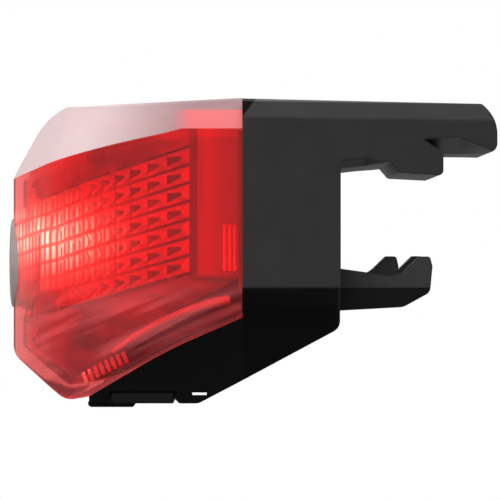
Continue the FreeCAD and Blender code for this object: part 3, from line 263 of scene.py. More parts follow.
def cellStrength(tree, columns, rows, least):
    # one strength for each cell, by chance from least to 1
    cell = tree.nodes.new("ShaderNodeCombineXYZ")
    tree.links.new(addMath(tree, "FLOOR", columns), cell.inputs[0])
    tree.links.new(addMath(tree, "FLOOR", rows), cell.inputs[1])
    chance = tree.nodes.new("ShaderNodeTexWhiteNoise")
    tree.links.new(cell.outputs[0], chance.inputs["Vector"])
    return addRange(tree, chance.outputs["Value"], least, 1.0)


dashLook = {"middleX": -15 * mm, "radius": 18 * mm, "sides": (0.42, 0.1), "ends": (0.48, 0.3),
            "least": 0.3, "fanEdge": 0.03, "whiteFall": -1.5, "whiteBase": 0.1, "startFade": 1 * mm}


# the light of the lamps: strongest at one place in the nose and broken into upright dashes, whose columns
# are counted round the nose or straight along the light
def addGlow(tree, coords, look):
    x, y, z = splitVector(tree, coords)
    share, rows, nearLine = fanRows(tree, x, z)
    around = x
    if look["dashRound"]:
        ahead = addMath(tree, "SUBTRACT", dashLook["middleX"], x)
        turn = addMath(tree, "ARCTAN2", addMath(tree, "ABSOLUTE", y), ahead)
        around = addMath(tree, "MULTIPLY", turn, dashLook["radius"])
    columns = addMath(tree, "DIVIDE", around, look["dashPitch"])
    offMiddle = addMath(tree, "ABSOLUTE", addMath(tree, "SUBTRACT", addMath(tree, "FRACT", columns), 0.5))
    dash = addMath(tree, "MULTIPLY", addStep(tree, offMiddle, *dashLook["sides"]),
                   addStep(tree, nearLine, *dashLook["ends"]))
    dash = addMath(tree, "MULTIPLY", dash, cellStrength(tree, columns, rows, dashLook["least"]))
    away = addAway(tree, x, z, look["glowMiddle"], look["glowReach"])
    glow = addMath(tree, "EXPONENT", addMath(tree, "MULTIPLY", away, -1.0))
    white = addMath(tree, "EXPONENT", addMath(tree, "MULTIPLY", away, dashLook["whiteFall"]))
    inFan = addMath(tree, "MULTIPLY", addStep(tree, share, 0.0, dashLook["fanEdge"]),
                    addStep(tree, share, 1.0, 1.0 - dashLook["fanEdge"]))
    broken = addMath(tree, "MULTIPLY_ADD", dash, 1.0 - dashLook["whiteBase"], dashLook["whiteBase"])
    core = addMath(tree, "MULTIPLY", white, broken)
    level = addMath(tree, "MULTIPLY_ADD", addMath(tree, "MULTIPLY", dash, inFan), look["dashBase"], glow)
    lit = tree.nodes.new("ShaderNodeEmission")
    tree.links.new(mixColours(tree, core, look["glowEdge"], look["glowCore"]), lit.inputs["Color"])
    reach = addStep(tree, x, look["glowStart"], look["glowStart"] - dashLook["startFade"])
    strength = addMath(tree, "MULTIPLY", addMath(tree, "MULTIPLY", level, look["glowPower"]), reach)
    tree.links.new(strength, lit.inputs["Strength"])
    return lit.outputs[0]


# haze in the lens: leaning wisps towards the lower seam, a dark pocket above the front of that seam, and a
# pale nose with a dark lip
def addHaze(tree, coords, look, beneath):
    x, z = sideView(tree, coords)
    lean = tree.nodes.new("ShaderNodeMapping")
    lean.inputs["Rotation"].default_value = (0, look["wispLean"], 0)
    tree.links.new(coords, lean.inputs["Vector"])
    wisps = addClouds(tree, lean.outputs[0], look["wispStretch"])
    streaked = addMottle(tree, wisps, look["haze"], look["wispDarker"], look["wispPaler"], look["wispEnds"])
    low = addStep(tree, z, look["hazeFrom"], look["hazeTo"])
    tone = mixColours(tree, low, look["haze"], streaked)
    fromPocket = addAway(tree, x, z, look["pocketMiddle"], look["pocketReach"])
    tone = mixColours(tree, addStep(tree, fromPocket, *look["pocketEdge"]), tone, look["pocket"])
    nose = addStep(tree, x, look["noseFrom"], look["noseTo"])
    lip = addStep(tree, x, look["lipFrom"], look["lipTo"])
    tone = mixColours(tree, nose, tone, mixColours(tree, lip, look["noseHaze"], look["rim"]))
    haze = tree.nodes.new("ShaderNodeBsdfDiffuse")
    tree.links.new(tone, haze.inputs["Color"])
    thickness = addRange(tree, addMath(tree, "MAXIMUM", low, nose), look["hazeLeast"], look["hazeMost"])
    thickness = addMath(tree, "MULTIPLY_ADD", lip, look["lipHaze"], thickness)
    return mixShaders(tree, thickness, beneath, haze.outputs[0])


# darker outline where the lens turns away from the eye
def addRim(tree, look, beneath):
    edge = tree.nodes.new("ShaderNodeLayerWeight")
    edge.inputs["Blend"].default_value = look["rimBlend"]
    rim = tree.nodes.new("ShaderNodeBsdfDiffuse")
    rim.inputs["Color"].default_value = (*look["rim"], 1)
    grazing = addStep(tree, edge.outputs["Facing"], look["rimFrom"], look["rimTo"])
    return mixShaders(tree, addMath(tree, "MULTIPLY", grazing, look["rimAmount"]), beneath, rim.outputs[0])


# painted reflection: a pale sheen on the roof of the lens, with a red band in it along the rear of the
# crease
def addPaintedReflection(tree, coords, look, beneath):
    x, z = sideView(tree, coords)
    roof = addStep(tree, addUpward(tree), look["sheenFrom"], look["sheenTo"])
    rear = addStep(tree, x, look["sheenFrontX"], look["sheenRearX"])
    tone = mixColours(tree, rear, look["sheenFront"], look["sheenRear"])
    band = addMath(tree, "MULTIPLY", addMath(tree, "LESS_THAN", z, look["bandTop"]),
                   addStep(tree, x, look["bandFront"], look["bandFull"]))
    paintedReflection = tree.nodes.new("ShaderNodeBsdfPrincipled")
    tree.links.new(mixColours(tree, band, tone, look["band"]), paintedReflection.inputs["Base Color"])
    paintedReflection.inputs["Roughness"].default_value = look["sheenRoughness"]
    paintedReflection.inputs["Specular IOR Level"].default_value = look["sheenShine"]
    uneven = addRange(tree, addClouds(tree, coords, look["sheenStretch"]), *look["sheenUneven"])
    amount = addMath(tree, "MULTIPLY", addMath(tree, "MULTIPLY", roof, look["sheen"]), uneven)
    return mixShaders(tree, amount, beneath, paintedReflection.outputs[0])


# the lens: tinted clear, with haze, rim and the painted reflection on its roof laid over it and the painted
# light of the lamps added
def polishedLens(name, look):
    mat, tree, coords, surface = tintedClear(name, look)
    surface = addHaze(tree, coords, look, surface)
    surface = addRim(tree, look, surface)
    surface = addPaintedReflection(tree, coords, look, surface)
    showSurface(tree, addShaders(tree, surface, addGlow(tree, coords, look)))
    return mat


# the clear outer skin of the prisms
def prismSkin(name, look):
    mat, tree, bsdf, coords = newMaterial(name)
    skin = tree.nodes.new("ShaderNodeBsdfTransparent")
    tint = addMottle(tree, addNoise(tree, coords, look["skinScale"]), look["skin"], 1.0, look["skinDarker"])
    tree.links.new(tint, skin.inputs["Color"])
    bsdf.inputs["Base Color"].default_value = (*look["bright"], 1)
    bsdf.inputs["Roughness"].default_value = look["skinRoughness"]
    showSurface(tree, mixShaders(tree, look["skinPolish"], skin.outputs[0], bsdf.outputs[0]))
    return mat


# the facets inside: red in one of the lit and shaded copies, picked by tone, with a dark notch in each cell
# painted as the reflection of the dark inside, dark lines between the rows, and the painted light of the
# lamps near the nose
def prismFacet(name, look, tone):
    mat, tree, bsdf, coords = newMaterial(name)
    x, z = sideView(tree, coords)
    share, rows, nearLine = fanRows(tree, x, z)
    line = addMath(tree, "MULTIPLY", addStep(tree, nearLine, *look["lineEdge"]),
                   addStep(tree, x, *look["lineFade"]))
    # painted reflection: a dark notch in each cell for the dark inside seen in the prisms
    reach = addMath(tree, "DIVIDE", addMath(tree, "SUBTRACT", x, look["notchFront"]), look["notchLength"])
    columns = addMath(tree, "LOGARITHM", reach, look["notchRatio"])
    across = addMath(tree, "FRACT", columns)
    halfNotch = addMath(tree, "MULTIPLY_ADD", across, look["notchFlare"], look["notchTip"])
    inside = addStep(tree, addMath(tree, "SUBTRACT", halfNotch, nearLine), *look["notchEdge"])
    notch = addMath(tree, "MULTIPLY", addStep(tree, across, *look["notchPoint"]), inside)
    notch = addMath(tree, "MULTIPLY", notch, cellStrength(tree, columns, rows, look["notchLeast"]))
    notch = addMath(tree, "MULTIPLY", notch, addStep(tree, x, *look["notchFade"]))
    cloud = addNoise(tree, coords, look["cloudScale"], look["cloudDetail"], look["cloudRoughness"])
    patch = addMottle(tree, cloud, look[tone], look["cloudDarker"], look["cloudPaler"])
    body = mixColours(tree, addMath(tree, "MAXIMUM", line, notch), patch, look["notch"])
    through = tree.nodes.new("ShaderNodeBsdfTranslucent")
    tree.links.new(body, through.inputs["Color"])
    tree.links.new(body, bsdf.inputs["Base Color"])
    bsdf.inputs["Roughness"].default_value = look["roughness"]
    facet = mixShaders(tree, look["through"], bsdf.outputs[0], through.outputs[0])
    # painted light of the lamps, weaker on the shaded copies
    glow = addGlow(tree, coords, dict(look, glowPower=look[tone + "Glow"]))
    showSurface(tree, addShaders(tree, facet, glow))
    return mat


# the tray: red moulding that changes from the fluted side bands and their dark frame to the cloudy walls
# and the paler nose, with a painted highlight on the streaks at the rear of the side band and a faint
# painted glow for the lamps' light inside
def trayRed(name, look):
    mat, tree, bsdf, coords = newMaterial(name)
    x, z = sideView(tree, coords)
    streak = addStep(tree, addClouds(tree, coords, look["fluteStretch"]), *look["fluteEdge"])
    side = mixColours(tree, streak, look["side"], look["bright"])
    band = mixColours(tree, addStep(tree, x, *look["sideEnd"]), side, look["deep"])
    # painted highlight: the streaks turn bright at the rear of the side band, more so low down
    glint = addMath(tree, "MULTIPLY", addStep(tree, x, *look["glintStart"]),
                    addStep(tree, z, *look["glintTop"]))
    band = mixColours(tree, addMath(tree, "MULTIPLY", glint, streak), band, look["bright"])
    surround = addMath(tree, "MULTIPLY", addStep(tree, x, *look["frameFront"]),
                       addStep(tree, x, *look["frameRear"]))
    band = mixColours(tree, surround, band, look["dark"])
    cloud = addClouds(tree, coords, look["wallStretch"], look["wallDetail"], look["wallRoughness"])
    wall = mixColours(tree, addStep(tree, cloud, *look["wallEdge"]), look["dark"], look["deep"])
    tone = mixColours(tree, addStep(tree, z, *look["bandFoot"]), band, wall)
    tone = mixColours(tree, addStep(tree, x, *look["bandEnd"]), tone, wall)
    tone = mixColours(tree, addStep(tree, x, *look["noseEdge"]), tone, look["nose"])
    tree.links.new(tone, bsdf.inputs["Base Color"])
    # painted glow: the tray gives off a little light in its own colour, standing in for the lamps' light
    # inside the chamber
    tree.links.new(tone, bsdf.inputs["Emission Color"])
    bsdf.inputs["Emission Strength"].default_value = look["paintedGlow"]
    bsdf.inputs["Roughness"].default_value = look["roughness"]
    bsdf.inputs["Specular IOR Level"].default_value = look["shine"]
    return mat


metalGrain = {"mottleDetail": 3.0, "mottleRoughness": 0.6, "darker": 0.9, "paler": 1.08, "scratchFiner": 6,
              "scratchDetail": 5.0, "scratchRoughness": 0.7, "smoother": 0.06, "rougher": 0.1,
              "scratchDepth": 0.02 * mm, "scratchStrength": 0.25}


# bare metal: faint mottling and fine scratches
def metalFinish(name, look):
    mat, tree, bsdf, coords = newMaterial(name)
    mottle = addNoise(tree, coords, look["mottleScale"], metalGrain["mottleDetail"],
                      metalGrain["mottleRoughness"])
    colour = addMottle(tree, mottle, look["colour"], metalGrain["darker"], metalGrain["paler"])
    tree.links.new(colour, bsdf.inputs["Base Color"])
    bsdf.inputs["Metallic"].default_value = 1.0
    scratches = addNoise(tree, coords, look["mottleScale"] * metalGrain["scratchFiner"],
                         metalGrain["scratchDetail"], metalGrain["scratchRoughness"])
    rough = addRange(tree, scratches, look["roughness"] - metalGrain["smoother"],
                     look["roughness"] + metalGrain["rougher"])
    tree.links.new(rough, bsdf.inputs["Roughness"])
    addBump(tree, bsdf, scratches, metalGrain["scratchDepth"], metalGrain["scratchStrength"])
    return mat


def dress(names, mat):
    for name in names:
        mesh = nodes[name].data
        mesh.materials.clear()
        mesh.materials.append(mat)


# the housing's black, with painted shade below its shoulder, in the mitre at the seam and on faces that
# turn away
satinBlack = mouldedPlastic("satinBlackMoulding", {
    "colour": (0.013, 0.013, 0.0135), "mottleScale": 260.0, "grainScale": 5200.0,
    "roughness": 0.55, "grainDepth": 0.02 * mm, "grainStrength": 0.35, "shine": 0.15, "softEdge": 0.35 * mm,
    "paintedShadeColour": (0.0022, 0.0022, 0.0023), "dimFrom": -6.5 * mm, "dimTo": -6.9 * mm, "dimFront": 0.3 * mm,
    "paintedShadeShine": 0.012, "mitreBase": 10.1 * mm, "mitreSlope": 0.7, "mitreStart": -16.8 * mm,
    "underShade": 0.85, "underTurn": (-0.02, -0.12), "topShade": 0.3, "topTurn": (0.2, 0.5)})
dress(["rear_housing"], satinBlack)
# the hatch's black is darker than the housing's: painted shade, so that its lit side does not stand out
# below the chin
hatchShadedBlack = mouldedPlastic("hatchPaintedShadeBlack", {
    "colour": (0.004, 0.004, 0.0042), "mottleScale": 260.0, "grainScale": 5200.0,
    "roughness": 0.5, "grainDepth": 0.02 * mm, "grainStrength": 0.35, "shine": 0.03, "softEdge": 0.2 * mm})
dress(["battery_hatch"], hatchShadedBlack)
innerBlack = mouldedPlastic("innerBlackMoulding", {
    "colour": (0.02, 0.016, 0.016), "mottleScale": 300.0, "grainScale": 3000.0,
    "roughness": 0.6, "grainDepth": 0.02 * mm, "grainStrength": 0.3, "shine": 0.3})
dress(["cell_holder", "tactile_switch", "controller_chip", "resistors"], innerBlack)
softSeal = mouldedPlastic("softSealRubber", {
    "colour": (0.02, 0.02, 0.02), "mottleScale": 400.0, "grainScale": 4000.0,
    "roughness": 0.75, "grainDepth": 0.03 * mm, "grainStrength": 0.4, "shine": 0.2})
dress(["hatch_seal"], softSeal)
redSeal = mouldedPlastic("redSealSilicone", {
    "colour": (0.35, 0.02, 0.03), "mottleScale": 400.0, "grainScale": 3000.0,
    "roughness": 0.5, "grainDepth": 0.02 * mm, "grainStrength": 0.3, "shine": 0.3})
dress(["lens_seal", "button_boot"], redSeal)
greyButton = mouldedPlastic("greyButtonRubber", {
    "colour": (0.2, 0.185, 0.175), "mottleScale": 350.0, "grainScale": 4200.0,
    "roughness": 0.5, "grainDepth": 0.02 * mm, "grainStrength": 0.4, "shine": 0.35})
dress(["push_button", "switch_plunger"], greyButton)
paleStem = mouldedPlastic("paleStemMoulding", {
    "colour": (0.6, 0.58, 0.56), "mottleScale": 300.0, "grainScale": 3000.0,
    "roughness": 0.4, "grainDepth": 0.01 * mm, "grainStrength": 0.3, "shine": 0.4})
dress(["button_stem"], paleStem)
ceramicTan = mouldedPlastic("ceramicTan", {
    "colour": (0.4, 0.28, 0.16), "mottleScale": 600.0, "grainScale": 4000.0,
    "roughness": 0.45, "grainDepth": 0.01 * mm, "grainStrength": 0.3, "shine": 0.5})
dress(["capacitor"], ceramicTan)
whiteSheet = mouldedPlastic("whiteReflectorSheet", {
    "colour": (0.8, 0.78, 0.76), "mottleScale": 300.0, "grainScale": 2600.0,
    "roughness": 0.3, "grainDepth": 0.01 * mm, "grainStrength": 0.2, "shine": 0.5})
dress(["reflector_plate"], whiteSheet)
solderMask = mouldedPlastic("greenSolderMask", {
    "colour": (0.02, 0.13, 0.05), "mottleScale": 500.0, "grainScale": 3600.0,
    "roughness": 0.35, "grainDepth": 0.01 * mm, "grainStrength": 0.3, "shine": 0.5})
dress(["led_board"], solderMask)
brightSteel = metalFinish("brightSteel", {
    "colour": (0.58, 0.57, 0.56), "mottleScale": 500.0, "roughness": 0.28})
dress(["tray_screws", "hatch_pin", "coin_cell"], brightSteel)
springBrass = metalFinish("springBrass", {
    "colour": (0.72, 0.55, 0.27), "mottleScale": 600.0, "roughness": 0.3})
dress(["positive_contact", "negative_contact"], springBrass)
ledResin = tintedClear("ledResin", {
    "colour": (0.98, 0.6, 0.55), "roughness": 0.1, "ior": 1.3, "coat": 0.2, "coatIor": 1.5})[0]
dress(["led_left", "led_right"], ledResin)
redTray = trayRed("redTrayMoulding", {
    "side": (0.16, 0.014, 0.018), "bright": (0.27, 0.02, 0.024), "deep": (0.22, 0.016, 0.022),
    "dark": (0.11, 0.01, 0.016), "nose": (0.33, 0.03, 0.034),
    "fluteStretch": (900.0, 30.0, 30.0), "fluteEdge": (0.45, 0.6), "sideEnd": (-12.8 * mm, -11.9 * mm),
    "glintStart": (-11.3 * mm, -10.9 * mm), "glintTop": (2 * mm, -1.5 * mm),
    "frameFront": (-15.2 * mm, -15.0 * mm), "frameRear": (-14.1 * mm, -14.3 * mm),
    "wallStretch": (160.0, 160.0, 420.0), "wallDetail": 3.0, "wallRoughness": 0.6, "wallEdge": (0.4, 0.62),
    "bandFoot": (-5.2 * mm, -6.0 * mm), "bandEnd": (-14.9 * mm, -15.3 * mm),
    "noseEdge": (-25.5 * mm, -29 * mm), "roughness": 0.35, "shine": 0.2, "paintedGlow": 0.14})
dress(["light_tray"], redTray)
print("housing, tray and inner parts dressed")

boreZ = -4.35 * mm    # height of the button's bore

# the lens has two finishes: the polished outside, and a plain inside for the faces that look towards its
# middle and for the button's collar
lensLook = {
    "colour": (0.95, 0.12, 0.12), "roughness": 0.02, "ior": 1.03, "coat": 0.15, "coatIor": 1.5,
    # sheen: the painted reflection on the lens's roof, pale at the front and darker and redder at the rear
    "sheen": 0.9, "sheenFrom": 0.16, "sheenTo": 0.3, "sheenRoughness": 0.6, "sheenShine": 0.05,
    "sheenFront": (0.58, 0.49, 0.495), "sheenRear": (0.24, 0.17, 0.175),
    "sheenFrontX": -28 * mm, "sheenRearX": -14 * mm,
    "sheenStretch": (60.0, 160.0, 160.0), "sheenUneven": (0.86, 1.1),
    "band": (0.53, 0.135, 0.14), "bandTop": 10.85 * mm, "bandFront": -17 * mm, "bandFull": -14.5 * mm,
    "haze": (0.5, 0.085, 0.09), "hazeFrom": -5 * mm, "hazeTo": -9 * mm, "hazeLeast": 0.13, "hazeMost": 0.33,
    "wispLean": 0.42, "wispStretch": (70.0, 70.0, 900.0), "wispEnds": (0.42, 0.58),
    "wispDarker": 0.55, "wispPaler": 1.45,
    "noseHaze": (0.85, 0.26, 0.24), "noseFrom": -30 * mm, "noseTo": -33.2 * mm,
    "lipFrom": -33.05 * mm, "lipTo": -33.3 * mm, "lipHaze": 0.45,
    "rim": (0.2, 0.012, 0.015), "rimBlend": 0.5, "rimFrom": 0.86, "rimTo": 0.97, "rimAmount": 0.6,
    "pocket": (0.2, 0.05, 0.055), "pocketMiddle": (-26.4 * mm, -13.3 * mm),
    "pocketReach": (2.6 * mm, 2.3 * mm), "pocketEdge": (1.7, 0.1),
    "glowMiddle": (-32 * mm, -1.9 * mm), "glowReach": (3.2 * mm, 2.9 * mm), "glowStart": -29.8 * mm,
    "dashPitch": 1.05 * mm, "dashBase": 0.25, "dashRound": True,
    "glowEdge": (0.55, 0.05, 0.04), "glowCore": (1.3, 0.88, 0.64), "glowPower": 0.8,
    "middle": (-18 * mm, 0, -3 * mm), "collarX": -31.8 * mm, "collarReach": 6 * mm}
insideLook = {"colour": (0.95, 0.12, 0.12), "roughness": 0.03, "ior": 1.03, "coat": 0.0, "coatIor": 1.45}
dress(["lens"], polishedLens("redLensPolished", lensLook))
lensMesh = nodes["lens"].data
lensMesh.materials.append(tintedClear("redLensInside", insideLook)[0])
lensMiddle = Vector(lensLook["middle"])
for face in lensMesh.polygons:
    centre = Vector(face.center)
    inward = face.normal.dot(centre - lensMiddle) < 0
    fromBore = math.hypot(centre.y, centre.z - boreZ)
    inCollar = centre.x > lensLook["collarX"] and fromBore < lensLook["collarReach"]
    face.material_index = 1 if inward or inCollar else 0
print("lens dressed")

# the prisms have the clear skin outside and four copies inside, with painted shade by the way a facet
# looks:
# middle on the facets that look ahead, dark on those that look down, bright on the rest, and one more round
# the window of the button
prismLook = {
    "skin": (1.0, 0.85, 0.85), "skinScale": 200.0, "skinDarker": 0.97,
    "skinRoughness": 0.1, "skinPolish": 0.06,
    # lit and shaded copies of the facets' red: painted shade
    "bright": (0.72, 0.04, 0.045), "middle": (0.6, 0.033, 0.04), "dark": (0.42, 0.025, 0.035),
    "cloudScale": 420.0, "cloudDetail": 2.0, "cloudRoughness": 0.5, "cloudDarker": 0.8, "cloudPaler": 1.12,
    "roughness": 0.3, "through": 0.3,
    "lineEdge": (0.37, 0.46), "lineFade": (-26 * mm, -17 * mm),
    "notch": (0.07, 0.006, 0.012), "notchFront": -33.6 * mm, "notchLength": 18.6 * mm, "notchRatio": 0.88,
    "notchPoint": (0.3, 0.4), "notchFlare": 0.33, "notchTip": -0.03, "notchEdge": (-0.04, 0.05),
    "notchLeast": 0.8, "notchFade": (-29 * mm, -21 * mm),
    "glowMiddle": (-29.5 * mm, -2 * mm), "glowReach": (7 * mm, 3.9 * mm), "glowStart": -10 * mm,
    "dashPitch": 0.62 * mm, "dashBase": 0.0, "dashRound": True,
    "glowEdge": (1.0, 0.1, 0.07), "glowCore": (2.4, 11.0, 8.0),
    "brightGlow": 1.25, "middleGlow": 1.1, "darkGlow": 0.6,
    "chamberX": -15 * mm, "looksDown": -0.15, "looksAhead": -0.2,
    "windowX": -27 * mm, "windowReach": 7.6 * mm}
windowLook = dict(prismLook, window=prismLook["bright"], windowGlow=prismLook["brightGlow"],
                  dashPitch=0.45 * mm, dashRound=False)
prismShadings = ("skin", "bright", "middle", "dark", "window")
dress(["optic_insert"], prismSkin("prismSkin", prismLook))
prisms = nodes["optic_insert"].data
for tone in ("bright", "middle", "dark"):
    prisms.materials.append(prismFacet("prismFacet" + tone.capitalize(), prismLook, tone))
prisms.materials.append(prismFacet("prismWindow", windowLook, "window"))
# painted shade: each inner facet takes its copy by the way it looks, dark looking down and middle looking
# ahead
for face in prisms.polygons:
    outward = Vector((face.center.x - prismLook["chamberX"], face.center.y, 0))
    if face.normal.dot(outward) < 0:
        fromBore = math.hypot(face.center.y, face.center.z - boreZ)
        if face.center.x < prismLook["windowX"] and fromBore < prismLook["windowReach"]:
            facetShading = "window"
        elif face.normal.z < prismLook["looksDown"]:
            facetShading = "dark"
        elif face.normal.x < prismLook["looksAhead"]:
            facetShading = "middle"
        else:
            facetShading = "bright"
        face.material_index = prismShadings.index(facetShading)
print("prisms dressed")


def selectOnly(piece):
    bpy.ops.object.select_all(action="DESELECT")
    piece.select_set(True)
    bpy.context.view_layer.objects.active = piece


def setPlace(piece):
    # the object's place and turn go into its mesh
    selectOnly(piece)
    bpy.ops.object.transform_apply(location=True, rotation=True, scale=True)


def applyAll(piece):
    selectOnly(piece)
    for modifier in list(piece.modifiers):
        bpy.ops.object.modifier_apply(modifier=modifier.name)


def addBlock(size, place):
    bpy.ops.object.select_all(action="DESELECT")
    bpy.ops.mesh.primitive_cube_add(size=1.0, location=place)
    block = bpy.context.object
    block.scale = size
    bpy.ops.object.transform_apply(location=False, rotation=False, scale=True)
    return block


def repeatAlong(piece, count, step):
    row = piece.modifiers.new("row", "ARRAY")
    row.count = count
    row.use_relative_offset = False
    row.use_constant_offset = True
    row.constant_offset_displace = step
    applyAll(piece)


edgeSegments = 2


def bevelEdges(piece, width):
    bevel = piece.modifiers.new("softEdges", "BEVEL")
    bevel.width = width
    bevel.segments = edgeSegments
    bevel.limit_method = "ANGLE"
    applyAll(piece)


def mirrorAcross(piece):
    # the same piece on the other side of the light
    setPlace(piece)
    mirror = piece.modifiers.new("otherSide", "MIRROR")
    mirror.use_axis = (False, True, False)
    applyAll(piece)


def finishPiece(piece, name, mat):
    # every new piece is fixed to the housing
    setPlace(piece)
    bpy.ops.object.mode_set(mode="EDIT")
    bpy.ops.mesh.select_all(action="SELECT")
    bpy.ops.mesh.normals_make_consistent(inside=False)
    bpy.ops.object.mode_set(mode="OBJECT")
    piece.name = name
    piece.data.materials.clear()
    piece.data.materials.append(mat)
    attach(piece, "housing")


# half-round flutes that catch the light on the side bands of the tray
fluteLook = {"radius": 0.2 * mm, "height": 4.6 * mm, "sides": 20, "edge": 0.05 * mm,
             "place": (-11.5 * mm, -19.95 * mm, -2.8 * mm), "step": (0.5 * mm, 0, 0), "count": 4,
             "colour": (0.6, 0.03, 0.035)}
bpy.ops.object.select_all(action="DESELECT")
bpy.ops.mesh.primitive_cylinder_add(vertices=fluteLook["sides"], radius=fluteLook["radius"],
                                    depth=fluteLook["height"], location=fluteLook["place"])
flutes = bpy.context.object
repeatAlong(flutes, fluteLook["count"], fluteLook["step"])
bevelEdges(flutes, fluteLook["edge"])
mirrorAcross(flutes)
fluteRed = mouldedPlastic("fluteRed", {
    "colour": fluteLook["colour"], "mottleScale": 160.0, "grainScale": 2600.0,
    "roughness": 0.25, "grainDepth": 0.01 * mm, "grainStrength": 0.2, "shine": 0.5})
finishPiece(flutes, "trayFlutes", fluteRed)
print("flutes modelled")

# dark ledge under the side band
ledgeLook = {"size": (5.0 * mm, 0.4 * mm, 0.35 * mm), "place": (-12.3 * mm, -20.0 * mm, -5.75 * mm),
             "edge": 0.08 * mm, "colour": (0.12, 0.01, 0.018)}
ledge = addBlock(ledgeLook["size"], ledgeLook["place"])
bevelEdges(ledge, ledgeLook["edge"])
mirrorAcross(ledge)
deepRed = mouldedPlastic("deepRed", {
    "colour": ledgeLook["colour"], "mottleScale": 200.0, "grainScale": 2600.0,
    "roughness": 0.35, "grainDepth": 0.01 * mm, "grainStrength": 0.2, "shine": 0.4})
finishPiece(ledge, "trayLedge", deepRed)
print("ledge modelled")

# bright staple in the tether slot
stapleLook = {"size": (1.5 * mm, 0.3 * mm, 0.34 * mm), "place": (-14.0 * mm, -18.75 * mm, -17.25 * mm),
              "edge": 0.06 * mm}
staple = addBlock(stapleLook["size"], stapleLook["place"])
bevelEdges(staple, stapleLook["edge"])
mirrorAcross(staple)
finishPiece(staple, "tetherStaple", brightSteel)
print("staple modelled")

# row of small prisms above the lower seam
serrationLook = {"size": (0.42 * mm, 0.5 * mm, 1.25 * mm), "place": (-25.3 * mm, -19.3 * mm, -15.65 * mm),
                 "step": (0.56 * mm, 0, 0.29 * mm), "count": 8, "lean": 20.0, "edge": 0.12 * mm}
serration = addBlock(serrationLook["size"], serrationLook["place"])
selectOnly(serration)
bpy.ops.transform.rotate(value=math.radians(serrationLook["lean"]), orient_axis="Y",
                         center_override=serrationLook["place"])
bpy.ops.object.transform_apply(location=False, rotation=True, scale=True)
repeatAlong(serration, serrationLook["count"], serrationLook["step"])
bevelEdges(serration, serrationLook["edge"])
mirrorAcross(serration)
finishPiece(serration, "lowerPrisms", fluteRed)
print("lower prisms modelled")

# tapering curved rib that follows the lower seam, with its ends and their handles as x and z
ribLook = {"start": (-22.6 * mm, -13.1 * mm), "startReach": (-20.2 * mm, -11.2 * mm),
           "end": (-11.0 * mm, -7.9 * mm), "endReach": (-15.5 * mm, -8.4 * mm), "y": -19.75 * mm,
           "depth": 0.45 * mm, "startTaper": 0.5, "roundness": 4, "colour": (0.42, 0.028, 0.032)}
bpy.ops.object.select_all(action="DESELECT")
bpy.ops.curve.primitive_bezier_curve_add()
rib = bpy.context.object
spine = rib.data.splines[0].bezier_points
for point, end in zip(spine, ("start", "end")):
    place = ribLook[end]
    reach = ribLook[end + "Reach"]
    point.handle_left_type = "FREE"
    point.handle_right_type = "FREE"
    point.co = (place[0], ribLook["y"], place[1])
    point.handle_left = (reach[0], ribLook["y"], reach[1])
    point.handle_right = (reach[0], ribLook["y"], reach[1])
spine[0].radius = ribLook["startTaper"]
rib.data.bevel_depth = ribLook["depth"]
rib.data.bevel_resolution = ribLook["roundness"]
rib.data.use_fill_caps = True
bpy.ops.object.convert(target="MESH")
mirrorAcross(rib)
ribRed = mouldedPlastic("ribRed", {
    "colour": ribLook["colour"], "mottleScale": 260.0, "grainScale": 2600.0,
    "roughness": 0.4, "grainDepth": 0.01 * mm, "grainStrength": 0.2, "shine": 0.3})
finishPiece(rib, "lowerRib", ribRed)
print("lower rib modelled")

# pale floor well below the light, because the photo shows it without a shadow
floorLook = {"drop": 90 * mm, "size": 320 * mm, "colour": (0.8, 0.8, 0.8), "paler": 1.0375,
             "mottleScale": 3.0, "roughness": 0.8}
bpy.ops.object.select_all(action="DESELECT")
bpy.ops.mesh.primitive_plane_add(size=floorLook["size"], location=(0, 0, -floorLook["drop"]))
floor = bpy.context.object
floor.name = "studioFloor"
floorMat, floorTree, floorBsdf, floorCoords = newMaterial("paleFloor")
floorNoise = addNoise(floorTree, floorCoords, floorLook["mottleScale"])
floorTone = addMottle(floorTree, floorNoise, floorLook["colour"], 1.0, floorLook["paler"])
floorTree.links.new(floorTone, floorBsdf.inputs["Base Color"])
floorBsdf.inputs["Roughness"].default_value = floorLook["roughness"]
floor.data.materials.append(floorMat)

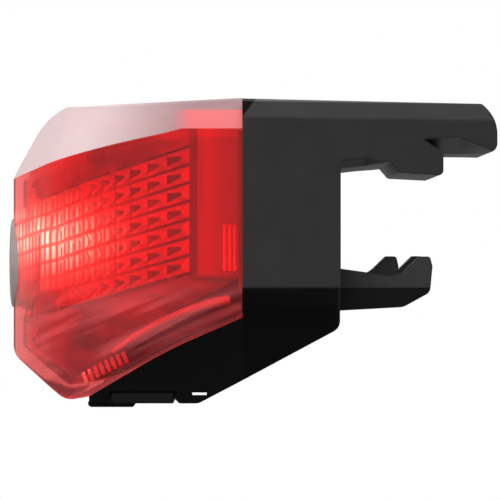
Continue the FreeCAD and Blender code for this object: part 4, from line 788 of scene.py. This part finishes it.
# soft sky that lights the object, and plain white where it is seen, reflected or looked through
skyLook = {"paintedShadeColour": -0.15, "paleAbove": 0.6, "paintedShade": (0.12, 0.12, 0.12), "pale": (0.9, 0.9, 0.9),
           "strength": 0.5}
world = bpy.data.worlds.new("studioWorld")
bpy.context.scene.world = world
world.use_nodes = True
worldTree = world.node_tree
sky = worldTree.nodes["Background"]
skyDirection = worldTree.nodes.new("ShaderNodeTexCoord")
skyHeight = splitVector(worldTree, skyDirection.outputs["Generated"])[2]
skyTone = addStep(worldTree, skyHeight, skyLook["paintedShadeColour"], skyLook["paleAbove"])
worldTree.links.new(mixColours(worldTree, skyTone, skyLook["paintedShade"], skyLook["pale"]), sky.inputs["Color"])
sky.inputs["Strength"].default_value = skyLook["strength"]
white = worldTree.nodes.new("ShaderNodeBackground")
white.inputs["Color"].default_value = (1, 1, 1, 1)
white.inputs["Strength"].default_value = 1.0
rays = worldTree.nodes.new("ShaderNodeLightPath")
seen = addMath(worldTree, "MAXIMUM", rays.outputs["Is Camera Ray"], rays.outputs["Is Transmission Ray"])
seen = addMath(worldTree, "MAXIMUM", seen, rays.outputs["Is Glossy Ray"])
backdrop = mixShaders(worldTree, seen, sky.outputs[0], white.outputs[0])
worldTree.links.new(backdrop, worldTree.nodes["World Output"].inputs["Surface"])
bpy.context.scene.view_settings.view_transform = "Standard"

# two softboxes, with their places and sizes in metres
lampLooks = {
    "topSoftbox": {"place": (-0.02, -0.03, 0.62), "target": (-0.01, 0, 0),
                   "size": (1.2, 1.2), "power": 9.0},
    "frontSoftbox": {"place": (-0.25, -0.75, 0.3), "target": (-0.01, 0, 0),
                     "size": (0.6, 0.5), "power": 6.0}}
for name, look in lampLooks.items():
    bpy.ops.object.light_add(type="AREA", location=look["place"])
    lamp = bpy.context.object
    lamp.name = name
    lamp.data.shape = "RECTANGLE"
    lamp.data.size = look["size"][0]
    lamp.data.size_y = look["size"][1]
    lamp.data.energy = look["power"]
    direction = Vector(look["target"]) - Vector(look["place"])
    lamp.rotation_euler = direction.to_track_quat("-Z", "Y").to_euler()

# the camera looks level from the left side of the light
cameraLook = {"place": (-9 * mm, -400 * mm, -3 * mm), "lens": 276.984, "sensor": 36.0, "nearest": 10 * mm}
bpy.ops.object.camera_add(location=cameraLook["place"], rotation=(math.radians(90), 0, 0))
camera = bpy.context.object
camera.data.sensor_width = cameraLook["sensor"]
camera.data.lens = cameraLook["lens"]
camera.data.clip_start = cameraLook["nearest"]
bpy.context.scene.camera = camera
print("studio ready")
